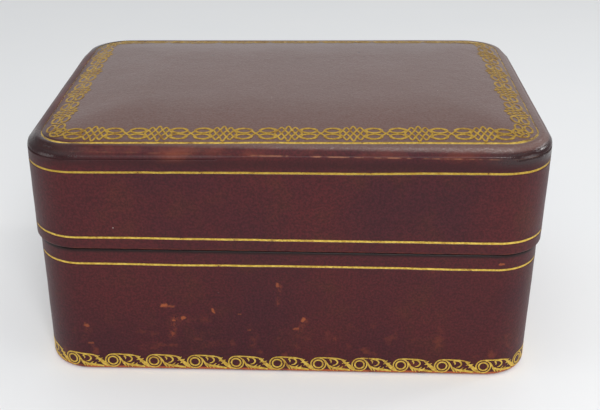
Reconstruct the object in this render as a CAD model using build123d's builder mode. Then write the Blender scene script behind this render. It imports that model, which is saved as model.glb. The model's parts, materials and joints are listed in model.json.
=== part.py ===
from build123d import *
import math
import os

# A padded, leather-covered jewellery case with a hinged lid.
# Millimetres. +X runs along the front, -Y is the front, +Z is up.
# The origin is the centre of the underside.

# Driving dimensions
lid_width = 127.0
lid_depth = 88.0
corner_radius = 12.5        # plan radius of the lid's outer corners
rim_height = 35.8           # top of the base's leather rim
lid_gap = 0.3               # air between the two rims when shut
crease_height = 61.3        # where the lid's side turns into its shoulder
valley_height = 63.25       # where the padded top starts
valley_inset = 3.7
crown_rise = 3.1            # how far the padding lifts the top
crown_run = 25.0            # distance from the valley to the flat middle
overhang = 0.8              # the lid stands this far outside the base
crease_rounding = 0.6
lid_rim_rounding = 0.5
base_rim_rounding = 0.6
foot_rounding = 0.6
velvet_rounding = 0.4
silk_rounding = 0.3
pad_rounding = 1.5
divider_rounding = 1.2
cushion_rounding = 3.0

# Sheet and board thicknesses
leather = 0.8
wood = 3.6
board = 3.5
card = 1.6
thin_card = 0.8
velvet = 0.8
velvet_lip = 0.5
silk = 0.7
underside_sheet_thickness = 0.4
bevel_drop = 0.6            # a skin's bevel drops this much per millimetre of skin
bevel_creep = 0.2           # and creeps inwards by this much
crown_middle_radius = 0.3   # taken off the last corner radius, so that it still fits

# Heights
lid_rim = rim_height + lid_gap
base_foot = underside_sheet_thickness
base_wood_foot = base_foot + leather
floor_height = base_wood_foot + board
collar_rise = 3.0
turn_in_depth = 4.1
velvet_clearance = 0.1      # between the rim's leather and the collar's lip
collar_top = rim_height + collar_rise
lid_wood_rim = lid_rim + leather
turn_in_top = lid_wood_rim + turn_in_depth
board_underside = 58.4

# Insets, all measured inwards from the lid's outer outline
rebate_depth = 1.8          # how far the floor board is let into the frame
base_wood_face = overhang + leather
base_cavity = base_wood_face + wood
board_rebate = base_cavity - rebate_depth
collar_inner = base_cavity + card
lining_inner = collar_inner + velvet
collar_skin = base_cavity - velvet_lip
collar_clearance = 0.35
lid_cavity = collar_skin - collar_clearance
lid_wood_cavity = lid_cavity - leather
lid_lining = lid_cavity + silk
underside_turn_in = 9.6
underside_margin = 2.0      # leather left showing round the underside sheet

# Hinges
axis_y = 42.9
axis_z = rim_height + lid_gap / 2
hinge_x = 36.0
knuckle_count = 5
knuckle_length = 3.8
knuckle_gap = 0.25
barrel_radius = 1.0
hinge_pin_radius = 0.5
pin_clearance = 0.05
barrel_clearance = 0.15
leaf_inner_y = 39.9
pocket_slack = 0.1
leather_pocket_slack = 0.4
pocket_overcut = 0.1
leaf_end_slack = 0.2
pin_overcut = 1.0
pin_extra_length = 0.2
pin_chamfer = 0.12
tack_slack = 0.03
hinge_length = knuckle_count * knuckle_length + (knuckle_count - 1) * knuckle_gap
open_angle = 100.0
bevel_angle = open_angle / 2 + 1.0      # each rim's back bevel, which stops the lid
tack_y = 41.0
tack_pitch = 7.4
tack_radius = 0.35
tack_head_radius = 0.55
tack_head = 0.25
tack_length = 4.0

# Fitted interior
divider_x = 9.5
divider_thickness = 3.0
divider_top = 30.0
fit_gap = 0.2
roll_count = 6
roll_gap = 0.4
roll_card_thickness = 1.2
roll_height = 17.0
well_pad_thickness = 4.3
lid_cushion_thickness = 4.0


def outline_sketch(height, inset, radius=None):
    """The case's rounded rectangle at a height, inset from the lid's outline."""
    with BuildSketch(Plane.XY.offset(height)) as footprint:
        RectangleRounded(
            lid_width - 2 * inset,
            lid_depth - 2 * inset,
            corner_radius - inset if radius is None else radius,
        )
    return footprint.sketch


def add_block(inset, low, high, mode=Mode.ADD):
    """A straight-walled block of the case's outline, in the part being built."""
    extrude(outline_sketch(low, inset), amount=high - low, mode=mode)


def add_ring(outer, inner, low, high):
    """A wall that follows the case's outline between two insets."""
    with BuildSketch(Plane.XY.offset(low)) as footprint:
        RectangleRounded(
            lid_width - 2 * outer, lid_depth - 2 * outer, corner_radius - outer
        )
        RectangleRounded(
            lid_width - 2 * inner,
            lid_depth - 2 * inner,
            corner_radius - inner,
            mode=Mode.SUBTRACT,
        )
    extrude(footprint.sketch, amount=high - low)


def add_shoulder(skin, mode=Mode.ADD):
    """The bevel from the lid's side to the valley, lowered by a skin thickness."""
    low = outline_sketch(crease_height - bevel_drop * skin, skin)
    high = outline_sketch(valley_height - skin, valley_inset + bevel_creep * skin)
    loft(sections=[low, high], ruled=True, mode=mode)


def add_crown(skin, mode=Mode.ADD):
    """The padded top, a parabola in section, lowered by a skin thickness."""
    steps = 5
    first_radius = corner_radius - valley_inset - bevel_creep * skin
    last_inset = valley_inset + crown_run
    last_radius = lid_depth / 2 - last_inset - crown_middle_radius
    sections = []
    for step in range(steps + 1):
        share = step / steps
        inset = valley_inset + bevel_creep * skin * (1 - share) + crown_run * share
        height = valley_height - skin + crown_rise * (1 - (1 - share) ** 2)
        radius = first_radius + (last_radius - first_radius) * share
        sections.append(outline_sketch(height, inset, radius))
    loft(sections=sections, ruled=True, mode=mode)


def cut_hinge_pockets(low, high, front):
    """Seats for both hinges' leaves and barrels, in the part being built."""
    for centre in (-hinge_x, hinge_x):
        with Locations((centre, (front + axis_y) / 2, (low + high) / 2)):
            Box(hinge_length + 2 * leaf_end_slack, axis_y - front, high - low, mode=Mode.SUBTRACT)
        with Locations((centre, axis_y, axis_z)):
            Cylinder(
                barrel_radius + barrel_clearance,
                hinge_length + 2 * leaf_end_slack,
                rotation=(0, 90, 0),
                mode=Mode.SUBTRACT,
            )


def cut_back_bevel(direction, skin=0.0):
    """Bevels a rim behind the hinge axis: direction is 1 on the lid, -1 on the base."""
    reach = 4.0
    slope = math.tan(math.radians(bevel_angle))
    lift = skin / math.cos(math.radians(bevel_angle))
    foot = 0.05
    with BuildSketch(Plane.YZ.offset(-lid_width / 2)) as wedge:
        with BuildLine():
            Polyline(
                (axis_y, axis_z - direction * foot),
                (axis_y, axis_z + direction * lift),
                (axis_y + reach, axis_z + direction * (lift + reach * slope)),
                (axis_y + reach, axis_z - direction * foot),
                close=True,
            )
        make_face()
    extrude(wedge.sketch, amount=lid_width, mode=Mode.SUBTRACT)


def tack_places(centre):
    """Where one hinge leaf's three tacks stand."""
    return [(centre + step * tack_pitch, tack_y) for step in (-1, 0, 1)]


def add_tacks(face, direction, mode=Mode.ADD, slack=0.0):
    """Countersunk tacks flush with a leaf's face: direction is the way they point."""
    for centre in (-hinge_x, hinge_x):
        for x, y in tack_places(centre):
            spot = Plane((x, y, face), x_dir=(1, 0, 0), z_dir=(0, 0, direction))
            with BuildSketch(spot) as head:
                Circle(tack_head_radius + slack)
            with BuildSketch(spot.offset(tack_head)) as neck:
                Circle(tack_radius + slack)
            loft(sections=[head.sketch, neck.sketch], ruled=True, mode=mode)
            extrude(neck.sketch, amount=tack_length - tack_head, dir=spot.z_dir, mode=mode)


def save(piece, name):
    """Labels a finished piece and writes its STEP file."""
    piece.part.label = name
    export_step(piece.part, f"parts/{name}.step")


os.makedirs("parts", exist_ok=True)

# ---------------------------------------------------------------- base box

with BuildPart() as base_board:
    add_block(board_rebate, base_wood_foot, floor_height)
save(base_board, "base_board")

with BuildPart() as base_frame:
    add_ring(base_wood_face, base_cavity, base_wood_foot, rim_height - leather)
    add_block(board_rebate, base_wood_foot, floor_height, mode=Mode.SUBTRACT)
    cut_hinge_pockets(rim_height - leather, rim_height, leaf_inner_y - pocket_slack)
    add_tacks(rim_height, -1, mode=Mode.SUBTRACT)
save(base_frame, "base_frame")

with BuildPart() as base_leather:
    add_block(overhang, base_foot, rim_height)
    fillet(base_leather.edges().group_by(Axis.Z)[-1], base_rim_rounding)
    fillet(base_leather.edges().group_by(Axis.Z)[0], foot_rounding)
    add_block(base_wood_face, base_wood_foot, rim_height - leather, mode=Mode.SUBTRACT)
    add_block(base_cavity, rim_height - leather, rim_height, mode=Mode.SUBTRACT)
    add_block(underside_turn_in, base_foot, base_wood_foot, mode=Mode.SUBTRACT)
    cut_back_bevel(-1)
    cut_hinge_pockets(rim_height - leather, rim_height + pocket_overcut, leaf_inner_y - pocket_slack)
save(base_leather, "base_leather")

with BuildPart() as underside_infill:
    add_block(underside_turn_in, base_foot, base_wood_foot)
save(underside_infill, "underside_infill")

with BuildPart() as underside_sheet:
    add_block(overhang + underside_margin, 0, base_foot)
save(underside_sheet, "underside_sheet")

# --------------------------------------------------- fitted interior, base

with BuildPart() as collar_card:
    add_ring(base_cavity, collar_inner, floor_height, collar_top)
save(collar_card, "collar_card")

with BuildPart() as collar_velvet:
    add_ring(collar_inner, lining_inner, floor_height, collar_top)
    add_ring(collar_skin, lining_inner, collar_top, collar_top + velvet_lip)
    add_ring(collar_skin, base_cavity, rim_height + velvet_clearance, collar_top)
    fillet(collar_velvet.edges().group_by(Axis.Z)[-1], velvet_rounding)
save(collar_velvet, "collar_velvet")

left_end = -lid_width / 2 + lining_inner
right_end = -left_end
divider_left = divider_x - divider_thickness / 2
divider_right = divider_x + divider_thickness / 2
inner_depth = lid_depth - 2 * lining_inner

with BuildPart() as divider:
    with Locations((divider_x, 0, (floor_height + divider_top) / 2)):
        Box(divider_thickness, inner_depth - 2 * fit_gap, divider_top - floor_height)
    fillet(divider.edges().group_by(Axis.Z)[-1].filter_by(Axis.Y), divider_rounding)
save(divider, "divider")

with BuildPart() as roll_card:
    add_block(lining_inner + fit_gap, floor_height, floor_height + roll_card_thickness)
    with Locations((divider_left - fit_gap, 0, 0)):
        Box(
            lid_width,
            lid_depth,
            2 * rim_height,
            align=(Align.MIN, Align.CENTER, Align.CENTER),
            mode=Mode.SUBTRACT,
        )
save(roll_card, "roll_card")

roll_foot = floor_height + roll_card_thickness
roll_pitch = (inner_depth - 2 * fit_gap + roll_gap) / roll_count
roll_width = roll_pitch - roll_gap
roll_start = left_end + fit_gap
roll_length = divider_left - fit_gap - roll_start

for number in range(roll_count):
    roll_y = (number - (roll_count - 1) / 2) * roll_pitch
    with BuildPart() as ring_roll:
        with BuildSketch(Plane.YZ.offset(roll_start)):
            with BuildLine():
                spring = roll_foot + roll_height - roll_width / 2
                foot = Line(
                    (roll_y - roll_width / 2, roll_foot),
                    (roll_y + roll_width / 2, roll_foot),
                )
                Line(foot @ 1, (roll_y + roll_width / 2, spring))
                CenterArc((roll_y, spring), roll_width / 2, 0, 180)
                Line((roll_y - roll_width / 2, spring), foot @ 0)
            make_face()
        extrude(amount=roll_length)
        fillet(ring_roll.edges().group_by(Axis.X)[0].filter_by(GeomType.CIRCLE), pad_rounding)
        fillet(ring_roll.edges().group_by(Axis.X)[-1].filter_by(GeomType.CIRCLE), pad_rounding)
        add_block(
            lining_inner + fit_gap, floor_height, rim_height, mode=Mode.INTERSECT
        )
    save(ring_roll, f"ring_roll_{number + 1}")

with BuildPart() as well_pad:
    add_block(lining_inner + fit_gap, floor_height, floor_height + well_pad_thickness)
    with Locations((divider_right + fit_gap, 0, 0)):
        Box(
            lid_width,
            lid_depth,
            2 * rim_height,
            align=(Align.MAX, Align.CENTER, Align.CENTER),
            mode=Mode.SUBTRACT,
        )
    fillet(well_pad.edges().group_by(Axis.Z)[-1], pad_rounding)
save(well_pad, "well_pad")

# -------------------------------------------------------------------- lid

with BuildPart() as lid_frame:
    add_ring(leather, lid_wood_cavity, lid_wood_rim, board_underside)
    cut_back_bevel(1, skin=leather)
    cut_hinge_pockets(lid_rim, lid_wood_rim, leaf_inner_y - pocket_slack)
    add_tacks(lid_rim, 1, mode=Mode.SUBTRACT)
save(lid_frame, "lid_frame")

with BuildPart() as lid_board:
    add_block(leather, board_underside, crease_height - bevel_drop * leather)
    add_shoulder(leather)
save(lid_board, "lid_board")

with BuildPart() as crown_wadding:
    add_crown(leather)
save(crown_wadding, "crown_wadding")

with BuildPart() as lid_leather:
    add_block(0, lid_rim, crease_height)
    fillet(lid_leather.edges().group_by(Axis.Z)[0], lid_rim_rounding)
    add_shoulder(0)
    crease = lid_leather.edges().filter_by_position(
        Axis.Z, crease_height - leather / 100, crease_height + leather / 100
    )
    fillet(crease, crease_rounding)
    add_crown(0)
    add_block(leather, lid_wood_rim, crease_height - bevel_drop * leather, mode=Mode.SUBTRACT)
    add_shoulder(leather, mode=Mode.SUBTRACT)
    add_crown(leather, mode=Mode.SUBTRACT)
    add_block(lid_wood_cavity, lid_wood_rim, turn_in_top)
    add_block(lid_cavity, lid_rim, turn_in_top, mode=Mode.SUBTRACT)
    cut_back_bevel(1)
    cut_hinge_pockets(lid_rim - pocket_overcut, lid_wood_rim, leaf_inner_y - leather_pocket_slack)
save(lid_leather, "lid_leather")

with BuildPart() as lid_lining_card:
    add_ring(lid_wood_cavity, lid_cavity, turn_in_top, board_underside)
save(lid_lining_card, "lid_lining_card")

with BuildPart() as lid_wall_silk:
    add_ring(lid_cavity, lid_lining, turn_in_top - thin_card, board_underside)
    fillet(lid_wall_silk.edges().group_by(Axis.Z)[0], silk_rounding)
save(lid_wall_silk, "lid_wall_silk")

with BuildPart() as lid_cushion:
    add_block(
        lid_lining + fit_gap, board_underside - lid_cushion_thickness, board_underside
    )
    fillet(lid_cushion.edges().group_by(Axis.Z)[0], cushion_rounding)
save(lid_cushion, "lid_cushion")

# ----------------------------------------------------------------- hinges


def knuckle_centre(index):
    """A knuckle's distance along the barrel from the hinge's middle."""
    return (index - (knuckle_count - 1) / 2) * (knuckle_length + knuckle_gap)


def add_leaf(centre, own_knuckles, low):
    """One leaf with its knuckles: the other leaf's knuckles have room between them."""
    with Locations((centre, (leaf_inner_y + axis_y) / 2, low + leather / 2)):
        Box(hinge_length, axis_y - leaf_inner_y, leather)
    for index in range(knuckle_count):
        with Locations((centre + knuckle_centre(index), axis_y, axis_z)):
            if index in own_knuckles:
                Cylinder(barrel_radius, knuckle_length, rotation=(0, 90, 0))
            else:
                Cylinder(
                    barrel_radius + barrel_clearance,
                    knuckle_length + 2 * knuckle_gap,
                    rotation=(0, 90, 0),
                    mode=Mode.SUBTRACT,
                )
    with Locations((centre, axis_y, axis_z)):
        Cylinder(
            hinge_pin_radius + pin_clearance,
            hinge_length + pin_overcut,
            rotation=(0, 90, 0),
            mode=Mode.SUBTRACT,
        )


lower_knuckles = (0, 2, 4)
upper_knuckles = (1, 3)
for side, centre in (("left", -hinge_x), ("right", hinge_x)):
    with BuildPart() as lower_leaf:
        add_leaf(centre, lower_knuckles, rim_height - leather)
        add_tacks(rim_height, -1, mode=Mode.SUBTRACT, slack=tack_slack)
    save(lower_leaf, f"hinge_lower_leaf_{side}")

    with BuildPart() as upper_leaf:
        add_leaf(centre, upper_knuckles, lid_rim)
        add_tacks(lid_rim, 1, mode=Mode.SUBTRACT, slack=tack_slack)
    save(upper_leaf, f"hinge_upper_leaf_{side}")

    with BuildPart() as hinge_pin:
        with Locations((centre, axis_y, axis_z)):
            Cylinder(hinge_pin_radius, hinge_length + pin_extra_length, rotation=(0, 90, 0))
        chamfer(hinge_pin.edges().filter_by(GeomType.CIRCLE), pin_chamfer)
    save(hinge_pin, f"hinge_pin_{side}")

with BuildPart() as lower_tacks:
    add_tacks(rim_height, -1)
save(lower_tacks, "hinge_tacks_lower")

with BuildPart() as upper_tacks:
    add_tacks(lid_rim, 1)
save(upper_tacks, "hinge_tacks_upper")
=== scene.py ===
# %% [markdown]
# # A gilt-tooled leather jewellery case
#
# The real object is a small wooden box, covered inside and out. Oxblood calf is pasted over the
# walls and turned in round both rims, gold leaf is pressed into it with heated tools, and the
# inside is fitted with velvet rolls, pads and a silk-lined lid.
#
# The hard facts, such as sizes, the hinge axis and which piece moves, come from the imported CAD
# frame. This script only adds looks to it. The order is the order of a workshop: the outline
# first, then the skins, the gilding, the lining, the finishes and at last the floor and the light.

# %% Load the fixed frame
import json
import math

import bpy
import numpy as np
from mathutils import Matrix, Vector, noise


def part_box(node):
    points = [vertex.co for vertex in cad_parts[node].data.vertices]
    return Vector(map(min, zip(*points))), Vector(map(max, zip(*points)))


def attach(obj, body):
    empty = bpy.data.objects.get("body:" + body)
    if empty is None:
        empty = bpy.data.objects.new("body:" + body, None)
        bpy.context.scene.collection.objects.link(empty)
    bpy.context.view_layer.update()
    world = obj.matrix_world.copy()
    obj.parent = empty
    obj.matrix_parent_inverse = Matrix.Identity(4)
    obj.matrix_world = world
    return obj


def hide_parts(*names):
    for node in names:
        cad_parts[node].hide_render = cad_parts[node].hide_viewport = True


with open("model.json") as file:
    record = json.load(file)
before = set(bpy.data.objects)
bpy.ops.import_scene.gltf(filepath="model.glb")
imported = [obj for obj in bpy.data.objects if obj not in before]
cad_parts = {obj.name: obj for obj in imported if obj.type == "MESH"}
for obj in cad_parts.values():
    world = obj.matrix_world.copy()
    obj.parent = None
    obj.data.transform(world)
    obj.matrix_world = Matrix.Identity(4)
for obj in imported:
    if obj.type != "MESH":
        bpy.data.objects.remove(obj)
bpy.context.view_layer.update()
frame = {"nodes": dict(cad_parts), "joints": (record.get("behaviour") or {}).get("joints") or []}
nodes = frame["nodes"]
MM = 0.001


def box_mm(node):
    """A node's lowest and highest corners, in millimetres."""
    low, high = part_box(node)
    return np.array(low) / MM, np.array(high) / MM


lid_low, lid_high = box_mm("lid_leather")
base_low, base_high = box_mm("base_leather")
print("lid", (lid_high - lid_low).round(2), "base", (base_high - base_low).round(2))

# %% [markdown]
# ## The outline that everything follows
#
# Every wall, rim, line and lining of the case runs round the same rounded rectangle, set in or
# out by a little. So the outline is worked out once, as stations: each station knows which
# corner centre it leans on and which way it faces. Any ring of the case is then one line of
# arithmetic, and rings of different insets match point for point, ready to be joined by quads.
# A bevelled cube would give the outline too, but not rings that can carry a groove.

# %% Stations round the rounded rectangle
HALF_X, HALF_Y = (lid_high[:2] - lid_low[:2]) / 2
CORNER = 12.5
STATION_STEP = 1.0


def make_stations():
    """Rows of (lean x, lean y, facing x, facing y), anticlockwise from the front's left end."""
    along_x = round(2 * (HALF_X - CORNER) / STATION_STEP)
    along_y = round(2 * (HALF_Y - CORNER) / STATION_STEP)
    along_arc = round(math.pi / 2 * CORNER / STATION_STEP)
    sides = [
        ((-1, -1), (1, -1), (0, -1), along_x),
        ((1, -1), (1, 1), (1, 0), along_y),
        ((1, 1), (-1, 1), (0, 1), along_x),
        ((-1, 1), (-1, -1), (-1, 0), along_y),
    ]
    rows = []
    for start, end, facing, count in sides:
        start, end = np.array(start, float), np.array(end, float)
        for step in range(count):
            rows.append([*(start + (end - start) * step / count), *facing])
        first = math.atan2(facing[1], facing[0])
        for step in range(along_arc):
            angle = first + math.pi / 2 * step / along_arc
            rows.append([*end, math.cos(angle), math.sin(angle)])
    return np.array(rows)


STATIONS = make_stations()


def ring(inset, height, radius=None):
    """The outline's points at an inset from the lid's side and a height, in millimetres."""
    radius = max(CORNER - inset, 0.4) if radius is None else radius
    centre = STATIONS[:, :2] * [HALF_X - inset - radius, HALF_Y - inset - radius]
    plan = centre + radius * STATIONS[:, 2:]
    return np.column_stack([plan, np.full(len(plan), float(height))])


print("stations", len(STATIONS))

# %% Walking the outline by length
def outline_place(length, inset):
    """Plan point and facing at a length round the outline, from the front's middle, eastwards."""
    run_x, run_y, radius = HALF_X - CORNER, HALF_Y - CORNER, CORNER - inset
    arc = math.pi / 2 * radius
    legs = [run_x, arc, 2 * run_y, arc, 2 * run_x, arc, 2 * run_y, arc, run_x]
    length = length % sum(legs)
    leg = 0
    while length > legs[leg]:
        length -= legs[leg]
        leg += 1
    corners = [(1, -1), (1, 1), (-1, 1), (-1, -1)]
    if leg % 2:
        corner = corners[leg // 2]
        angle = math.radians(-90 + 90 * (leg // 2)) + length / radius
        facing = (math.cos(angle), math.sin(angle))
        return (
            corner[0] * run_x + radius * facing[0],
            corner[1] * run_y + radius * facing[1],
            *facing,
        )
    facing = [(0, -1), (1, 0), (0, 1), (-1, 0), (0, -1)][leg // 2]
    along = (-facing[1], facing[0])
    start = [0, -run_y, -run_x, -run_y, -run_x][leg // 2]
    reach = start + length
    side_x, side_y = HALF_X - inset, HALF_Y - inset
    return (
        along[0] * reach + facing[0] * side_x,
        along[1] * reach + facing[1] * side_y,
        *facing,
    )


def outline_length(inset):
    """The whole way round at an inset."""
    straight = 4 * (HALF_X - CORNER) + 4 * (HALF_Y - CORNER)
    return straight + 2 * math.pi * (CORNER - inset)


print("round the base:", round(outline_length(0.8), 1), "mm")

# %% [markdown]
# ## Skin that isn't quite flat
#
# Leather pasted over wood follows it closely, but it is never dead flat: paste, grain and a
# century of hands leave swells of less than a tenth of a millimetre. They can't be seen as
# shapes, yet they bend every reflection a little, and that is what tells leather from plastic.
# Both the skins and the gold that lies on them are moved by the same function, so the gold
# can't part from the leather.

# %% The swell of the leather and the padded crown
CREASE = 61.3
VALLEY = 63.25
VALLEY_INSET = 3.7
CROWN_RISE = 3.1
CROWN_RUN = 25.0
CROWN_SQUARENESS = 6.4
BROAD_SWELL, BROAD_SIZE = 0.075, 15
CLOSE_SWELL, CLOSE_SIZE = 0.022, 4.5


def crown_height(x, y):
    """Height of the padded top: a parabola that rounds off towards the corners."""
    across = np.clip(1 - (HALF_X - VALLEY_INSET - np.abs(x)) / CROWN_RUN, 0, None)
    along = np.clip(1 - (HALF_Y - VALLEY_INSET - np.abs(y)) / CROWN_RUN, 0, None)
    edge = (across**CROWN_SQUARENESS + along**CROWN_SQUARENESS) ** (1 / CROWN_SQUARENESS)
    return VALLEY + CROWN_RISE * (1 - np.clip(edge, 0, 1) ** 2)


def swell(point):
    """How far the leather stands off its flat, in millimetres, at a point in millimetres."""
    broad = noise.noise(Vector(point) / BROAD_SIZE)
    close = noise.noise(Vector(point) / CLOSE_SIZE + Vector((40, 0, 0)))
    return BROAD_SWELL * broad + CLOSE_SWELL * close


OUT_OF_TRUE = 0.00057
TRUE_BELOW = 38.0
TURN_BELOW_CREASE = 0.8


def out_of_true(x, z):
    """The lid was never quite square: its left end is a little lower than its right."""
    return OUT_OF_TRUE * x * np.maximum(z - TRUE_BELOW, 0)


def settle(points, facing_x, facing_y):
    """Moves points by the swell, sideways on the walls and upwards on the top, and leans them."""
    up = np.clip(
        (points[:, 2] - CREASE + TURN_BELOW_CREASE) / (VALLEY - CREASE + TURN_BELOW_CREASE), 0, 1
    )
    amount = np.array([swell(p) for p in points])
    moved = points.copy()
    moved[:, 0] += facing_x * amount * (1 - up)
    moved[:, 1] += facing_y * amount * (1 - up)
    moved[:, 2] += amount * up + out_of_true(points[:, 0], points[:, 2])
    return moved


print("crown top", round(float(crown_height(0, 0)), 2), "mm")

# %% A mesh from rings
def make_object(name, points, faces, smooth=True):
    """A mesh object from points in millimetres."""
    mesh = bpy.data.meshes.new(name)
    mesh.from_pydata((np.asarray(points) * MM).tolist(), [], faces)
    mesh.validate()
    if smooth:
        mesh.shade_smooth()
    piece = bpy.data.objects.new(name, mesh)
    bpy.context.scene.collection.objects.link(piece)
    return piece


def ring_faces(count, size, closed=False, flip=False):
    """Quads between successive rings of one size, and from the last to the first if closed."""
    faces = []
    for level in range(count if closed else count - 1):
        here, there = level * size, (level + 1) % count * size
        for i in range(size):
            j = (i + 1) % size
            quad = (here + i, here + j, there + j, there + i)
            faces.append(quad[::-1] if flip else quad)
    return faces


# %% [markdown]
# ## A line pressed in the leather
#
# A fillet is a brass wheel with one thin edge. Run hot over gold leaf, it sinks a groove about
# a tenth of a millimetre deep and leaves the gold in its floor. The groove could be a bump in
# the shader, but a line that catches the light on one lip and holds a shadow on the other
# needs a real one, and the rings give it for eight more rows. The hand that ran the wheel
# wasn't quite steady, so each line wanders by a tenth of a millimetre or two.

# %% The groove's section and its wander
LINE_WIDTH = 0.72
TOP_LINE_SCALE = 1.7
LINE_DEPTH = 0.13
LIP = 0.03
SLOW_WANDER, QUICK_WANDER = 0.16, 0.05
groove_section = [
    (-0.85, 0.0),
    (-0.62, LIP),
    (-0.46, 0.0),
    (-0.30, -LINE_DEPTH),
    (0.30, -LINE_DEPTH),
    (0.46, 0.0),
    (0.62, LIP),
    (0.85, 0.0),
]


def wander(x, y, line):
    """How far a line strays from its height, in millimetres; line tells the lines apart."""
    slow = noise.noise(Vector((x / 17, y / 17, 3.7 * line)))
    quick = noise.noise(Vector((x / 4, y / 4, 9.1 * line)))
    return SLOW_WANDER * slow + QUICK_WANDER * quick


UPPER_LINE = 57.1
fillet_lines = {
    "gilt_line_lid_upper": {"height": UPPER_LINE, "inset": 0.0, "number": 1},
    "gilt_line_lid_lower": {"height": 39.3, "inset": 0.0, "number": 2},
    "gilt_line_base": {"height": 31.6, "inset": 0.8, "number": 3},
}
top_line_number = 4


def groove_rings(height, inset, number):
    """Rings across one groove in a wall, from its lower lip to its upper."""
    rings = []
    for step, sink in groove_section:
        points = ring(inset - sink, height + step * LINE_WIDTH)
        points[:, 2] += [wander(x, y, number) for x, y in points[:, :2]]
        rings.append(points)
    return rings


# %% [markdown]
# ## The lid's leather
#
# One skin covers the lid: in from the lining, round the rim, up the wall, over the soft
# shoulder and across the padded top. It is lofted ring by ring, which keeps every edge as
# round as the real one and gives each fold its own row of points. The wall leans in a little
# below the shoulder, as leather does where it was pulled over a bevelled board.

# %% Rings of the lid's skin
LID_RIM = lid_low[2]
TURN_IN_INSET, TURN_IN_TOP = 4.35, 41.0
SKIN = 0.8
SHOULDER_LEAN = 0.06
LEAN_FROM, LEAN_TO = 57.9, 60.7
CRISP_CREASE, SOFT_CREASE = 0.45, 2.3
LID_RIM_ROUND, TURN_ROUND = 0.5, 0.3


def rounding(centre, radius, start, end, count):
    """Points of an arc in (inset, height), angles in degrees: 0 faces out of the case."""
    angles = np.radians(np.linspace(start, end, count))
    return [(centre[0] - radius * math.cos(a), centre[1] + radius * math.sin(a)) for a in angles]


def lid_outer_rings():
    rings = [ring(TURN_IN_INSET, z) for z in (TURN_IN_TOP, 39.0, 37.2, LID_RIM + TURN_ROUND)]
    inner_middle = (TURN_IN_INSET - TURN_ROUND, LID_RIM + TURN_ROUND)
    inner_edge = rounding(inner_middle, TURN_ROUND, 200, 270, 4)
    outer_edge = rounding((LID_RIM_ROUND, LID_RIM + LID_RIM_ROUND), LID_RIM_ROUND, -90, 0, 6)
    rings += [ring(inset, z) for inset, z in [*inner_edge, (2.4, LID_RIM), *outer_edge]]
    rings += [ring(0, z) for z in (37.2, 38.0)]
    rings += groove_rings(**fillet_lines["gilt_line_lid_lower"])
    rings += [ring(0, z) for z in np.linspace(41, 55.6, 12)]
    rings += groove_rings(**fillet_lines["gilt_line_lid_upper"])
    for share in (0.25, 0.5, 0.75, 0.95):
        rings.append(ring(SHOULDER_LEAN * share**2, LEAN_FROM + (LEAN_TO - LEAN_FROM) * share))
    return rings


def bevel_profile(crease_round):
    """(inset, height) from the top of the wall, round the crease and up to the groove."""
    bevel = math.atan2(VALLEY - CREASE, VALLEY_INSET)
    rise = crease_round * (math.tan(bevel) - 1 / math.cos(bevel))
    centre = (SHOULDER_LEAN + crease_round, CREASE + rise)
    profile = rounding(centre, crease_round, 0, math.degrees(math.pi / 2 - bevel), 9)
    inset, height = profile[-1]
    stop = VALLEY_INSET - 1.5
    for share in (0.25, 0.5, 0.75, 1.0):
        profile.append((inset + (stop - inset) * share, height + (VALLEY - 0.06 - height) * share))
    return profile


def shoulder_rings():
    """The crease is crisp along the straights and worn round at the corners and the left."""
    corner = np.clip(2.2 * np.abs(STATIONS[:, 2] * STATIONS[:, 3]), 0, 1)
    left = np.clip((-12 - STATIONS[:, 0] * HALF_X) / 20, 0, 0.6) * (STATIONS[:, 3] < -0.5)
    soft_share = np.maximum(corner, left)[:, None]
    rings = []
    for crisp, soft in zip(bevel_profile(CRISP_CREASE), bevel_profile(SOFT_CREASE)):
        rings.append(ring(*crisp) * (1 - soft_share) + ring(*soft) * soft_share)
    return rings


def crown_ring(inset):
    """A ring on the padded top, whose corners grow rounder inwards."""
    share = (inset - VALLEY_INSET) / CROWN_RUN
    start = CORNER - VALLEY_INSET
    points = ring(inset, 0, start + (15.0 - start) * max(share, 0))
    points[:, 2] = crown_height(points[:, 0], points[:, 1])
    return points


def top_line_ring(step, rise):
    """A ring of the top's gilt line, which is broad along the front and fine along the sides."""
    fine = crown_ring(VALLEY_INSET + step * LINE_WIDTH * 0.6)
    broad = crown_ring(VALLEY_INSET + step * LINE_WIDTH * TOP_LINE_SCALE)
    share = STATIONS[:, 3:] ** 2
    points = fine * (1 - share) + broad * share
    stray = np.array([wander(x, y, top_line_number) for x, y in points[:, :2]])
    points[:, :2] -= STATIONS[:, 2:] * stray[:, None]
    points[:, 2] += rise
    return points


def top_rings():
    """The gilt groove at the crown's foot, then the crown up to its flat middle."""
    rings = [top_line_ring(step, sink) for step, sink in groove_section[1:]]
    rings += [crown_ring(VALLEY_INSET + inset) for inset in np.linspace(1.6, CROWN_RUN, 20)]
    middle = rings[-1]
    for scale in (0.9, 0.78, 0.64, 0.48, 0.32, 0.16):
        points = middle.copy()
        points[:, :2] *= scale
        points[:, 2] = crown_height(points[:, 0], points[:, 1])
        rings.append(points)
    return rings


lid_rings = lid_outer_rings() + shoulder_rings() + top_rings()
print("rings on the lid", len(lid_rings))

# %% [markdown]
# Where the lid tips back, the two rims would run into each other behind the hinge axis. The
# real case has a bevel along the back of both rims, and the CAD frame has it too, so the rings'
# points behind the axis are lifted onto that bevel.

# %% The bevel behind the hinge
HINGE = frame["joints"][0]
AXIS_Y, AXIS_Z = HINGE["pos_m"][1] / MM, HINGE["pos_m"][2] / MM
BEVEL_SLOPE = math.tan(math.radians(51))
BEVEL_GAP = 0.15


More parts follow.
